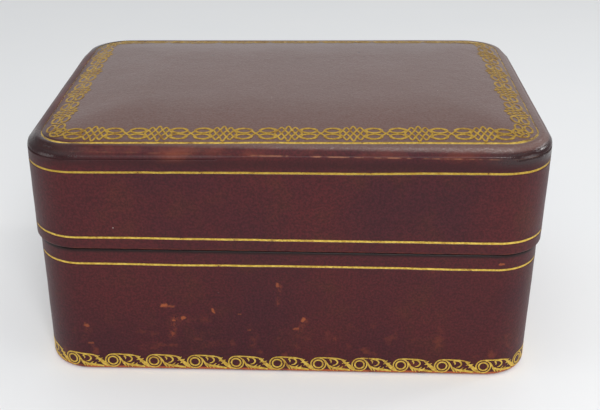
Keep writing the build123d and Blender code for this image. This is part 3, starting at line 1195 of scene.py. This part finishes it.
class Board:
    """A node tree that nodes are added to."""

    def __init__(self, tree):
        self.tree = tree

    def add(self, kind, settings=None, inputs=None, out=0):
        """Adds a node: its settings first, then values or links for its sockets."""
        node = self.tree.nodes.new(kind)
        for name, value in (settings or {}).items():
            setattr(node, name, value)
        for name, value in (inputs or {}).items():
            socket = node.inputs[name]
            if isinstance(value, Wire):
                self.tree.links.new(value.socket, socket)
            else:
                socket.default_value = value
        return Wire(self, node.outputs[out])


class Bench(Board):
    """One finish being made: a material, its nodes and its shader."""

    def __init__(self, name, **shader_values):
        self.material = bpy.data.materials.new(name)
        self.material.use_nodes = True
        super().__init__(self.material.node_tree)
        self.shader = self.tree.nodes["Principled BSDF"]
        for socket, value in shader_values.items():
            self.shader.inputs[socket.replace("_", " ")].default_value = value
        self.place = self.add("ShaderNodeTexCoord", out="Object") * 1000.0

    def noise(self, size, detail=2.0, roughness=0.5, offset=0.0, place=None):
        """Noise with features of a size in millimetres, from 0 to 1."""
        where = (self.place if place is None else place) + offset
        return self.add(
            "ShaderNodeTexNoise",
            {},
            {"Vector": where, "Scale": 1 / size, "Detail": detail, "Roughness": roughness},
        )

    def cells(self, size, feature="F1", offset=0.0):
        """Voronoi cells of a size in millimetres."""
        return self.add(
            "ShaderNodeTexVoronoi",
            {"feature": feature},
            {"Vector": self.place + offset, "Scale": 1 / size},
            "Distance",
        )

    def mix(self, share, first, second):
        """A colour between two, by a share from 0 to 1."""
        inputs = {0: share}
        for index, colour in ((6, first), (7, second)):
            inputs[index] = colour if isinstance(colour, Wire) else (*colour, 1)
        return self.add("ShaderNodeMix", {"data_type": "RGBA"}, inputs, out=2)

    def part(self, axis):
        """One coordinate of the place, in millimetres."""
        return self.add("ShaderNodeSeparateXYZ", {}, {0: self.place}, out="XYZ".index(axis))

    def feed(self, socket, wire):
        self.tree.links.new(wire.socket, self.shader.inputs[socket])

    def bump(self, height, distance):
        """Feeds a bump; distance is the height of 1 in millimetres."""
        normal = self.add("ShaderNodeBump", {}, {"Height": height, "Distance": distance * MM})
        self.feed("Normal", normal)

    def coat_pieces(self, *pieces):
        for piece in pieces:
            piece.data.materials.clear()
            piece.data.materials.append(self.material)


# %% [markdown]
# ## Oxblood calf
#
# Dyed calf is a dark wine red, browner where hands have rubbed it. Three things make it read
# as old waxed leather: colour that drifts over centimetres, a fine grain under half a
# millimetre that breaks up the gloss, and wear just where the shape stands proud. So the wear
# masks come from the shape's own measures, such as the height of the crease and the rims. The
# same measures also place painted light: painted shade in a band below the lid's crease, a
# painted dark reflection on the shoulder's corners and a painted shadow on the base's rim.

# %% Leather, shared by both skins
LEATHER_DARK = (0.041, 0.0048, 0.0085)
LEATHER_RED = (0.058, 0.0062, 0.0078)
LEATHER_BROWN = (0.060, 0.0120, 0.0066)
TOP_DULL = (0.090, 0.026, 0.012)
# Painted shade: a dark band on the lid's wall just below the crease.
CREASE_PAINTED_SHADE = (0.022, 0.002, 0.003)
WEAR_BROWN = (0.22, 0.045, 0.017)
WEAR_TAN = (0.46, 0.20, 0.10)
DUST = (0.62, 0.56, 0.52)
PIT_DARK = (0.012, 0.004, 0.004)
SCRATCH_DARK = (0.03, 0.008, 0.007)
# Painted dark reflection on the shoulder's corners.
CORNER_PAINTED_REFLECTION = (0.014, 0.005, 0.006)
# Painted shadow on the base's rim, under the lid's rim.
RIM_PAINTED_SHADOW = (0.006, 0.001, 0.001)
SPOT_TAN = (0.30, 0.075, 0.024)
FOOT_TAN = (0.36, 0.085, 0.026)
LEATHER_IOR, WAXED_IOR = 1.34, 2.18
RIM_SEAM = 35.5


def leather_base(name):
    """The leather before its wear: (bench, colour, height of the grain)."""
    bench = Bench(name, IOR=LEATHER_IOR)
    drift = bench.noise(30, detail=3)
    patches = bench.noise(8, detail=4, offset=31.0)
    mottle = bench.noise(0.55, detail=3, roughness=0.6, offset=7.0)
    colour = bench.mix(drift.step(0.34, 0.70), LEATHER_DARK, LEATHER_RED)
    colour = bench.mix(patches.step(0.50, 0.78) * 0.6, colour, LEATHER_BROWN)
    shade = bench.mix(mottle.step(0.3, 0.72), (0.66, 0.64, 0.64), (1.30, 1.27, 1.27))
    colour = bench.add(
        "ShaderNodeMix",
        {"data_type": "RGBA", "blend_type": "MULTIPLY"},
        {0: 1.0, 6: colour, 7: shade},
        out=2,
    )
    grain = bench.noise(0.38, detail=3, roughness=0.62, offset=13.0)
    pebbles = bench.cells(0.7, feature="SMOOTH_F1")
    height = grain * 0.6 + pebbles * 0.5 + bench.noise(3.2, detail=2, offset=3.0) * 1.2
    return bench, colour, height


def specks(bench, colour):
    """Tiny light specks of dust, few and uneven."""
    dot = bench.cells(6.0, offset=2.0).step(0.024, 0.015)
    chosen = bench.noise(11, offset=53.0).step(0.50, 0.56)
    return bench.mix(dot * chosen * 0.8, colour, DUST)


def finish_leather(bench, colour, height, wear, polish=0):
    """Puts the worn colour, the gloss and the grain on the shader; gives them back for wax."""
    colour = specks(bench, colour)
    cloud = bench.noise(16, detail=3, offset=77.0)
    rough = 0.33 + cloud * 0.12 + bench.noise(0.6, offset=5.0) * 0.10
    rough = rough + wear * 0.15 - polish * 0.27
    bench.feed("Base Color", colour)
    bench.feed("Roughness", rough)
    bench.bump(height, 0.045)
    return colour, rough


def wax_over(bench, mask, colour, rough, height):
    """Waxed leather where the mask says: the same leather, but a stronger reflection."""
    grain = bench.add("ShaderNodeBump", {}, {"Height": height, "Distance": 0.12 * MM})
    waxed = bench.add(
        "ShaderNodeBsdfPrincipled",
        {},
        {"IOR": WAXED_IOR, "Base Color": colour, "Roughness": rough, "Normal": grain},
    )
    plain = Wire(bench, bench.shader.outputs[0])
    both = bench.add("ShaderNodeMixShader", {}, {0: mask, 1: plain, 2: waxed})
    bench.tree.links.new(both.socket, bench.tree.nodes["Material Output"].inputs["Surface"])


# %% Wear on the lid, and a painted shade below the crease
def band(value, centre, reach):
    """1 at a height, falling smoothly to 0 at a reach either side."""
    return abs(value - centre).step(reach, 0.0)


lid_bench, lid_colour, lid_height = leather_base("oxblood_calf_lid")
x, y, z = (lid_bench.part(axis) for axis in "XYZ")
rub = lid_bench.noise(5.5, detail=4, offset=19.0)
on_top = z.step(62.3, 63.2)
lid_colour = lid_bench.mix(on_top * 0.75, lid_colour, TOP_DULL)
# Painted shade: the wall just below the crease is darkened.
lid_colour = lid_bench.mix(band(z, 59.2, 2.4) * 0.6, lid_colour, CREASE_PAINTED_SHADE)
crease_glow = band(z, 61.9, 1.7) * rub.step(0.40, 0.66)
lid_colour = lid_bench.mix(crease_glow * 0.22, lid_colour, WEAR_BROWN)
smudge = band(x, -26.0, 6.0) * band(z, 60.9, 2.4) * y.step(-40.0, -43.0)
lid_colour = lid_bench.mix(smudge * rub.step(0.30, 0.60) * 0.38, lid_colour, WEAR_BROWN)
crease_thread = band(z, 61.35, 0.26) * lid_bench.noise(2.6, detail=3, offset=61.0).step(0.40, 0.62)
crease_line = crease_thread * (0.10 + x.step(-16.0, 0.0) * 0.34)
lid_colour = lid_bench.mix(crease_line, lid_colour, WEAR_TAN)
rim_line = z.step(36.8, 36.2) * lid_bench.noise(3.0, detail=3, offset=29.0).step(0.35, 0.65)
lid_colour = lid_bench.mix(rim_line * 0.4, lid_colour, WEAR_BROWN)

# %% [markdown]
# The lid's top has its own small marks: a few dark pits where something damp stood, and one
# long shallow scratch. The corners of the shoulder are polished by hands, so they are glossier
# than the rest, and their colour is darkened as a painted dark reflection of the room.

# %% Marks on the top, and polished corners with a painted dark reflection
pits = [(-23.0, 17.0, 0.5), (18.5, 19.5, 0.55), (19.8, 15.0, 0.45), (-6.0, 24.0, 0.3)]
pits += [(-31.0, 4.0, 0.3), (9.0, -3.0, 0.25), (34.0, 8.0, 0.35), (27.0, 24.5, 0.3)]
pit_mask = None
for pit_x, pit_y, size in pits:
    away = ((x - pit_x) * (x - pit_x) + (y - pit_y) * (y - pit_y)) ** 0.5
    mark = (away + (lid_bench.noise(0.7, offset=pit_x) - 0.5) * 0.5).step(size, size * 0.3)
    pit_mask = mark if pit_mask is None else pit_mask.at_least(mark)
lid_colour = lid_bench.mix(pit_mask * on_top * 0.75, lid_colour, PIT_DARK)
bow = y - 14.5 + (x - 10.0) * (x - 10.0) * 0.012
scratch = abs(bow + (rub - 0.5) * 1.2).step(0.16, 0.05) * band(x, 6.0, 16.0) * on_top
lid_colour = lid_bench.mix(scratch * 0.35, lid_colour, SCRATCH_DARK)
lid_height = lid_height - scratch * 0.7 - pit_mask * on_top
corner = (abs(x) + abs(y)).step(86.0, 98.0) * z.step(58.6, 60.8) * (1 - on_top)
# Painted dark reflection: besides their polish, the corners' colour is darkened.
lid_colour = lid_bench.mix(corner * 0.85, lid_colour, CORNER_PAINTED_REFLECTION)
worn = crease_line + rim_line
lid_colour, lid_rough = finish_leather(lid_bench, lid_colour, lid_height, worn, corner)
rubbed = 0.68 + y.step(-42.0, 42.0) * 0.30 + (lid_bench.noise(0.45, offset=83.0) - 0.5) * 0.9
wax = on_top * rubbed
wax_over(lid_bench, wax.at_least(corner * 0.12), lid_colour, lid_rough - 0.03, lid_height)
lid_bench.coat_pieces(lid_skin)

# %% [markdown]
# ### Scuffs on the base
#
# The base's front has been knocked: spots where the dyed surface is gone and the tan hide
# shows, and wider smears where it is only thinned. Each is a capsule, the distance to a short
# line, broken up by noise. A loop adds one after another, from a list in millimetres: place on
# the front, length, lean, width and strength.

# %% Capsule marks
def capsule(across, up, mark, ragged):
    """How far a capsule mark covers a place; mark is (across, up, length, lean, width, depth)."""
    place_x, place_z, length, lean, width, depth = mark
    along = (math.cos(math.radians(lean)), math.sin(math.radians(lean)))
    run = (across - place_x) * along[0] + (up - place_z) * along[1]
    aside = (across - place_x) * along[1] - (up - place_z) * along[0]
    beyond = (abs(run) - length / 2).at_least(0)
    distance = (beyond * beyond + aside * aside) ** 0.5
    return (distance + (ragged - 0.5) * width * 2.4).step(width, width * 0.2) * depth


def strongest(masks):
    total = masks[0]
    for mask in masks[1:]:
        total = total.at_least(mask)
    return total


spots = [
    (-30.9, 19.8, 0.7, 10, 0.75, 1.0),
    (-29.2, 19.6, 1.2, 0, 0.5, 0.5),
    (-26.2, 16.2, 0.5, 0, 0.6, 0.95),
    (-18.6, 18.4, 0.9, 110, 0.5, 0.9),
    (-50.9, 13.6, 0.8, 160, 0.6, 0.7),
    (-50.2, 8.2, 1.0, 0, 0.4, 0.5),
    (-2.4, 26.4, 0.5, 80, 0.55, 0.7),
    (4.1, 16.2, 0.6, 60, 0.6, 0.9),
    (2.3, 13.6, 1.0, 20, 0.4, 0.6),
    (-12.0, 17.6, 0.5, 0, 0.35, 0.5),
    (-9.6, 12.9, 0.5, 0, 0.35, 0.45),
    (52.4, 33.2, 0.9, 0, 0.45, 0.8),
    (-28.6, 15.4, 0.4, 0, 0.35, 0.7),
]
smears = [
    (-28.8, 13.6, 5.0, 80, 1.7, 0.95),
    (-2.0, 23.4, 5.6, 84, 0.9, 0.65),
    (4.0, 14.6, 3.0, 60, 1.5, 0.6),
    (11.6, 10.6, 1.5, 20, 1.2, 0.65),
    (-51.0, 11.5, 4.0, 70, 1.6, 0.3),
    (-35.5, 7.2, 3.0, 0, 1.3, 0.35),
    (-18.5, 8.6, 4.0, 10, 1.7, 0.30),
    (-8.5, 9.6, 3.0, 80, 1.8, 0.32),
    (-25.0, 15.5, 9.0, 10, 2.6, 0.22),
    (36.0, 30.6, 2.0, 30, 1.9, 0.35),
]

# %% Wear on the base, and a painted shadow under the lid's rim
base_bench, base_colour, base_height = leather_base("oxblood_calf_base")
x, y, z = (base_bench.part(axis) for axis in "XYZ")
ragged = base_bench.noise(0.75, detail=4, roughness=0.7, offset=43.0)
loose = base_bench.noise(1.1, detail=5, roughness=0.75, offset=3.5)
front = y.step(-40.0, -42.0)
smear_mask = strongest([capsule(x, z, mark, loose) for mark in smears]) * front
spot_mask = strongest([capsule(x, z, mark, ragged) for mark in spots]) * front
base_colour = base_bench.mix(smear_mask * loose.step(0.42, 0.70), base_colour, WEAR_BROWN)
bloom = base_bench.noise(4.0, detail=5, offset=83.0).step(0.56, 0.70) * z.step(20, 6) * 0.3
base_colour = base_bench.mix(bloom, base_colour, WEAR_BROWN)
base_colour = base_bench.mix(spot_mask * 0.8, base_colour, SPOT_TAN)
foot_wear = z.step(1.5, 0.95) * (0.45 + base_bench.noise(4.0, detail=4, offset=23.0).step(0.36, 0.56))
base_colour = base_bench.mix((foot_wear * 0.85).at_most(1.0), base_colour, FOOT_TAN)
rim_wear = band(z, RIM_SEAM, 0.35) * base_bench.noise(3.5, detail=3, offset=97.0).step(0.5, 0.7)
base_colour = base_bench.mix(rim_wear * 0.35, base_colour, WEAR_BROWN)
# Painted shadow: a dark band on the base's rim where the lid's rim overhangs it.
base_colour = base_bench.mix(band(z, RIM_SEAM, 1.0), base_colour, RIM_PAINTED_SHADOW)
finish_leather(base_bench, base_colour, base_height, spot_mask + foot_wear * 0.5)
base_bench.coat_pieces(base_skin)
print("spots", len(spots), "smears", len(smears))

# %% [markdown]
# ## Gold leaf
#
# Leaf is real gold, but so thin and so pressed that it never mirrors. It is metallic with a
# broad, broken gloss, warmer and browner where it has rubbed thin, and it is missing in small
# ragged gaps. The gaps are cut with Alpha, so the leather under the leaf shows through them.
# The top is handled most, so its leaf is thinner; along its short sides it is thinner still, and that
# part is a painted reflection: it dulls the gold there as a dimmer reflection would.

# %% Gilding
GOLD_THIN = (0.34, 0.16, 0.05)
# Painted shade for the upper line on the lid's wall, under the shoulder.
GOLD_PAINTED_SHADE = (0.34, 0.21, 0.03)


def leaf_gilding(name, deep, bright, gap_start, thin=None):
    """Rubbed leaf between two golds; gap_start sets how much is missing, thin where."""
    bench = Bench(name, Metallic=1.0)
    worn = bench.noise(2.6, detail=4, roughness=0.6, offset=11.0)
    tone = bench.noise(0.7, detail=3, offset=71.0)
    gold = bench.mix(tone.step(0.3, 0.7), deep, bright)
    gold = bench.mix(worn.step(0.52, 0.74) * 0.7, gold, GOLD_THIN)
    # Painted shade: the lid's upper line, just under the shoulder, is darkened.
    gold = bench.mix(band(bench.part("Z"), UPPER_LINE, 2.5) * 0.5, gold, GOLD_PAINTED_SHADE)
    bench.feed("Base Color", gold)
    bench.feed("Roughness", 0.36 + tone * 0.18 + worn * 0.1)
    flake = bench.noise(0.42, detail=3, roughness=0.7, offset=47.0)
    cover = (flake * 0.55 + worn * 0.45).step(gap_start, gap_start - 0.04)
    if thin:
        cover = cover * thin(bench, worn)
    bench.feed("Alpha", cover)
    bench.bump(bench.noise(0.25, detail=2), 0.02)
    return bench


def thin_at_sides(bench, worn):
    """Leaf left on the top: most on the front's middle, less towards the back and in worn patches,
    least along the short sides, where the loss is a painted dimming of the gold's reflection.
    """
    # Painted reflection: thinner leaf along the short sides dims the gold there.
    side = abs(bench.part("X")).step(44.0, 54.0)
    back = bench.part("Y").step(10.0, 34.0)
    return 1.0 - side * 0.16 - back * 0.12 - worn.step(0.45, 0.7) * 0.10


def dimmed_at_sides(bench, worn):
    """The line round the top has much less leaf along the short sides, a painted dimming of its
    reflection there, and less still in worn patches.
    """
    # Painted reflection: less leaf along the short sides dims the line there.
    side = abs(bench.part("X")).step(53.0, 58.5)
    return 1.0 - side * (0.40 + worn.step(0.4, 0.6) * 0.3)


wall_gold = leaf_gilding("rubbed_gold_leaf", (0.56, 0.36, 0.060), (0.80, 0.585, 0.13), 0.645)
top_gold = leaf_gilding(
    "thin_gold_leaf", (0.46, 0.275, 0.045), (0.68, 0.45, 0.09), 0.70, thin_at_sides
)
line_gold = leaf_gilding(
    "bright_gold_line", (0.64, 0.41, 0.065), (0.94, 0.68, 0.15), 0.645, dimmed_at_sides
)
gold_for = {"gilt_line_top": line_gold, "gilt_knot_roll": top_gold}
for piece in gilt_pieces:
    gold = gold_for.get(piece.name, wall_gold)
    gold.coat_pieces(piece)

# %% [markdown]
# ## Linings, wood and brass
#
# Velvet is matt from above and pale at a glancing look, which is the shader's sheen; its nap
# lies in patches, so its colour shifts in soft clouds. Silk has a fine crosswise weave and a
# clear gloss. The hidden materials get their own grain too: they show wherever the case is
# taken apart.

# %% Cloth finishes
velvet_bench = Bench("champagne_velvet", Sheen_Weight=0.7, Sheen_Roughness=0.35)
nap = velvet_bench.noise(6.0, detail=3, offset=5.0)
pile = velvet_bench.noise(0.28, detail=2, offset=9.0)
velvet_colour = velvet_bench.mix(nap.step(0.35, 0.68), (0.46, 0.345, 0.215), (0.54, 0.42, 0.275))
velvet_colour = velvet_bench.mix(pile.step(0.35, 0.7) * 0.35, velvet_colour, (0.30, 0.21, 0.12))
velvet_bench.feed("Base Color", velvet_colour)
velvet_bench.feed("Roughness", 0.82 + nap * 0.12)
velvet_bench.bump(pile + nap * 0.6, 0.12)
velvet_bench.coat_pieces(collar_lining, divider_pad, well_cushion, *roll_pieces)

silk_bench = Bench("ivory_silk", Sheen_Weight=0.25)
x, y, z = (silk_bench.part(axis) for axis in "XYZ")
THREAD = 0.16
warp = silk_bench.add("ShaderNodeMath", {"operation": "SINE"}, {0: x * (2 * math.pi / THREAD)})
weft = silk_bench.add("ShaderNodeMath", {"operation": "SINE"}, {0: (y + z) * (2 * math.pi / THREAD)})
slub = silk_bench.noise(1.0, detail=2, place=silk_bench.place * (0.12, 1.0, 1.0))
silk_colour = silk_bench.mix(slub.step(0.2, 0.85), (0.68, 0.59, 0.44), (0.76, 0.68, 0.53))
silk_colour = silk_bench.mix(silk_bench.noise(14, detail=3).step(0.5, 0.75) * 0.35,
                             silk_colour, (0.55, 0.42, 0.27))
silk_bench.feed("Base Color", silk_colour)
silk_bench.feed("Roughness", 0.40 + slub * 0.12)
silk_bench.bump(warp * weft * 0.5 + slub, 0.02)
silk_bench.coat_pieces(lid_pad, wall_lining)

# %% Wood, card, wadding and flock
wood_bench = Bench("pale_box_wood")
rings_of_growth = wood_bench.noise(2.2, detail=4, place=wood_bench.place * (0.06, 1.0, 1.0))
wood_colour = wood_bench.mix(rings_of_growth.step(0.35, 0.65), (0.46, 0.29, 0.15), (0.62, 0.43, 0.25))
pores = wood_bench.noise(0.3, detail=2, place=wood_bench.place * (0.08, 1.0, 1.0), offset=3.0)
wood_colour = wood_bench.mix(pores.step(0.6, 0.72) * 0.5, wood_colour, (0.24, 0.13, 0.06))
wood_bench.feed("Base Color", wood_colour)
wood_bench.feed("Roughness", 0.55 + pores * 0.2)
wood_bench.bump(pores + rings_of_growth * 0.5, 0.05)
wood_bench.coat_pieces(lid_board, *(nodes[n] for n in ("base_board", "base_frame", "lid_frame")))

card_bench = Bench("grey_pasteboard")
fibre = card_bench.noise(0.6, detail=4, roughness=0.7)
card_colour = card_bench.mix(fibre.step(0.3, 0.7), (0.30, 0.24, 0.17), (0.44, 0.37, 0.28))
card_bench.feed("Base Color", card_colour)
card_bench.feed("Roughness", 0.78 + fibre * 0.15)
card_bench.bump(fibre, 0.05)
card_names = ("underside_infill", "collar_card", "roll_card", "lid_lining_card")
card_bench.coat_pieces(*(nodes[n] for n in card_names))

wadding_bench = Bench("cotton_wadding", Sheen_Weight=0.3)
tuft = wadding_bench.noise(1.6, detail=5, roughness=0.7)
wadding_colour = wadding_bench.mix(tuft.step(0.3, 0.7), (0.66, 0.63, 0.56), (0.84, 0.82, 0.77))
wadding_bench.feed("Base Color", wadding_colour)
wadding_bench.feed("Roughness", 0.85 + tuft * 0.1)
wadding_bench.bump(tuft, 0.5)
wadding_bench.coat_pieces(wadding)

flock_bench = Bench("flock_paper", Sheen_Weight=0.4)
flock = flock_bench.noise(0.3, detail=3)
bald = flock_bench.noise(9, detail=4, offset=15.0)
flock_colour = flock_bench.mix(flock.step(0.3, 0.7), (0.026, 0.009, 0.007), (0.050, 0.018, 0.013))
flock_colour = flock_bench.mix(bald.step(0.56, 0.75) * 0.6, flock_colour, (0.11, 0.06, 0.045))
flock_bench.feed("Base Color", flock_colour)
flock_bench.feed("Roughness", 0.86 + bald * 0.1)
flock_bench.bump(flock, 0.06)
flock_bench.coat_pieces(nodes["underside_sheet"])

# %% Hinge brass
brass_bench = Bench("old_hinge_brass", Metallic=1.0)
tarnish = brass_bench.noise(1.8, detail=4, roughness=0.6)
drawn = brass_bench.noise(0.5, detail=2, place=brass_bench.place * (0.1, 1.0, 1.0))
brass_colour = brass_bench.mix(tarnish.step(0.4, 0.72), (0.66, 0.46, 0.20), (0.30, 0.19, 0.09))
brass_bench.feed("Base Color", brass_colour)
brass_bench.feed("Roughness", 0.26 + tarnish * 0.22 + drawn * 0.1)
brass_bench.bump(drawn, 0.01)
hinge_names = ["hinge_tacks_lower", "hinge_tacks_upper"]
for side in ("left", "right"):
    hinge_names += [f"hinge_{part}_{side}" for part in ("lower_leaf", "upper_leaf", "pin")]
brass_bench.coat_pieces(*(nodes[n] for n in hinge_names))
print("brass on", len(hinge_names), "nodes")

# %% [markdown]
# ## The floor, the light and the camera
#
# The case stands on pale paper, wide enough to fill the picture from any side. Glossy dark
# leather mostly shows what it reflects: the top mirrors the bright far side of the room and
# goes grey, and the front mirrors the floor and stays dark red. So the room's glow matters as
# much as the lamps.

# %% Paper floor
PAPER_HALF = 3000.0
paper_corners = [(-PAPER_HALF, -PAPER_HALF, 0.0), (PAPER_HALF, -PAPER_HALF, 0.0)]
paper_corners += [(PAPER_HALF, PAPER_HALF, 0.0), (-PAPER_HALF, PAPER_HALF, 0.0)]
paper = make_object("paper_floor", paper_corners, [(0, 1, 2, 3)])
paper_bench = Bench("pale_paper")
tooth = paper_bench.noise(1.2, detail=3)
cast = paper_bench.noise(60, detail=2)
paper_bench.feed("Base Color", paper_bench.mix(cast, (0.79, 0.80, 0.81), (0.82, 0.82, 0.82)))
paper_bench.feed("Roughness", 0.7 + tooth * 0.1)
paper_bench.bump(tooth, 0.02)
paper_bench.coat_pieces(paper)

# %% [markdown]
# The room is bright overhead and behind, and darker to the sides and in front. The polished
# corners of the lid turn towards the sides, so they go nearly black; a painted dark reflection
# in their colour adds to it, and that is what gives them their depth. A window off to the right
# and a little behind puts one small light on the right-hand corner and a faint shade to the
# left of the case. A broad lamp above the front lights the floor.

# %% Lamps and room
def soft_lamp(name, place, aim, size, power):
    """A square soft box: places in millimetres, power in watts."""
    lamp = bpy.data.lights.new(name, "AREA")
    lamp.shape, lamp.size, lamp.energy = "SQUARE", size * MM, power
    holder = bpy.data.objects.new(name, lamp)
    holder.location = Vector(place) * MM
    holder.rotation_euler = (Vector(aim) - Vector(place)).to_track_quat("-Z", "Y").to_euler()
    bpy.context.scene.collection.objects.link(holder)


world = bpy.data.worlds.new("room")
world.use_nodes = True
bpy.context.scene.world = world
room = Board(world.node_tree)
heading = room.add("ShaderNodeTexCoord", out="Generated")
back_way, up_way = (
    room.add("ShaderNodeSeparateXYZ", {}, {0: heading}, out=axis) for axis in (1, 2)
)
glow = up_way.step(0.55, 0.95).at_least(back_way.step(0.55, 0.9))
background = world.node_tree.nodes["Background"]
background.inputs["Color"].default_value = (0.97, 0.985, 1.0, 1)
ROOM_DIM, ROOM_GLOW = 0.36, 0.56
strength = ROOM_DIM + glow * ROOM_GLOW
world.node_tree.links.new(strength.socket, background.inputs["Strength"])
soft_lamp("window", (470, 150, 300), (0, 0, 30), 80, 0.36)
soft_lamp("doorway", (520, -260, 180), (40, 0, 30), 260, 0.5)
soft_lamp("far_room", (-520, -200, 180), (-40, 0, 30), 260, 0.42)
soft_lamp("front_room", (80, -560, 470), (40, 0, 60), 300, 3.3)

# %% Camera
CAMERA_PLACE = Vector((6.2, -252.2, 151.9))
TILT, TURN, ROLL = 26.31, -0.87, 0.52
tilt, turn = math.radians(TILT), math.radians(TURN)
forward = Vector((math.sin(turn) * math.cos(tilt), math.cos(turn) * math.cos(tilt), -math.sin(tilt)))
camera_data = bpy.data.cameras.new("camera")
camera_data.sensor_width = 36.0
camera_data.lens = 58.9
camera_data.clip_start = 0.01
camera = bpy.data.objects.new("camera", camera_data)
camera.location = CAMERA_PLACE * MM
camera.rotation_euler = forward.to_track_quat("-Z", "Y").to_euler()
camera.rotation_euler.rotate_axis("Z", math.radians(ROLL))
bpy.context.scene.collection.objects.link(camera)
bpy.context.scene.camera = camera
view = bpy.context.scene.view_settings
view.view_transform = "Standard"
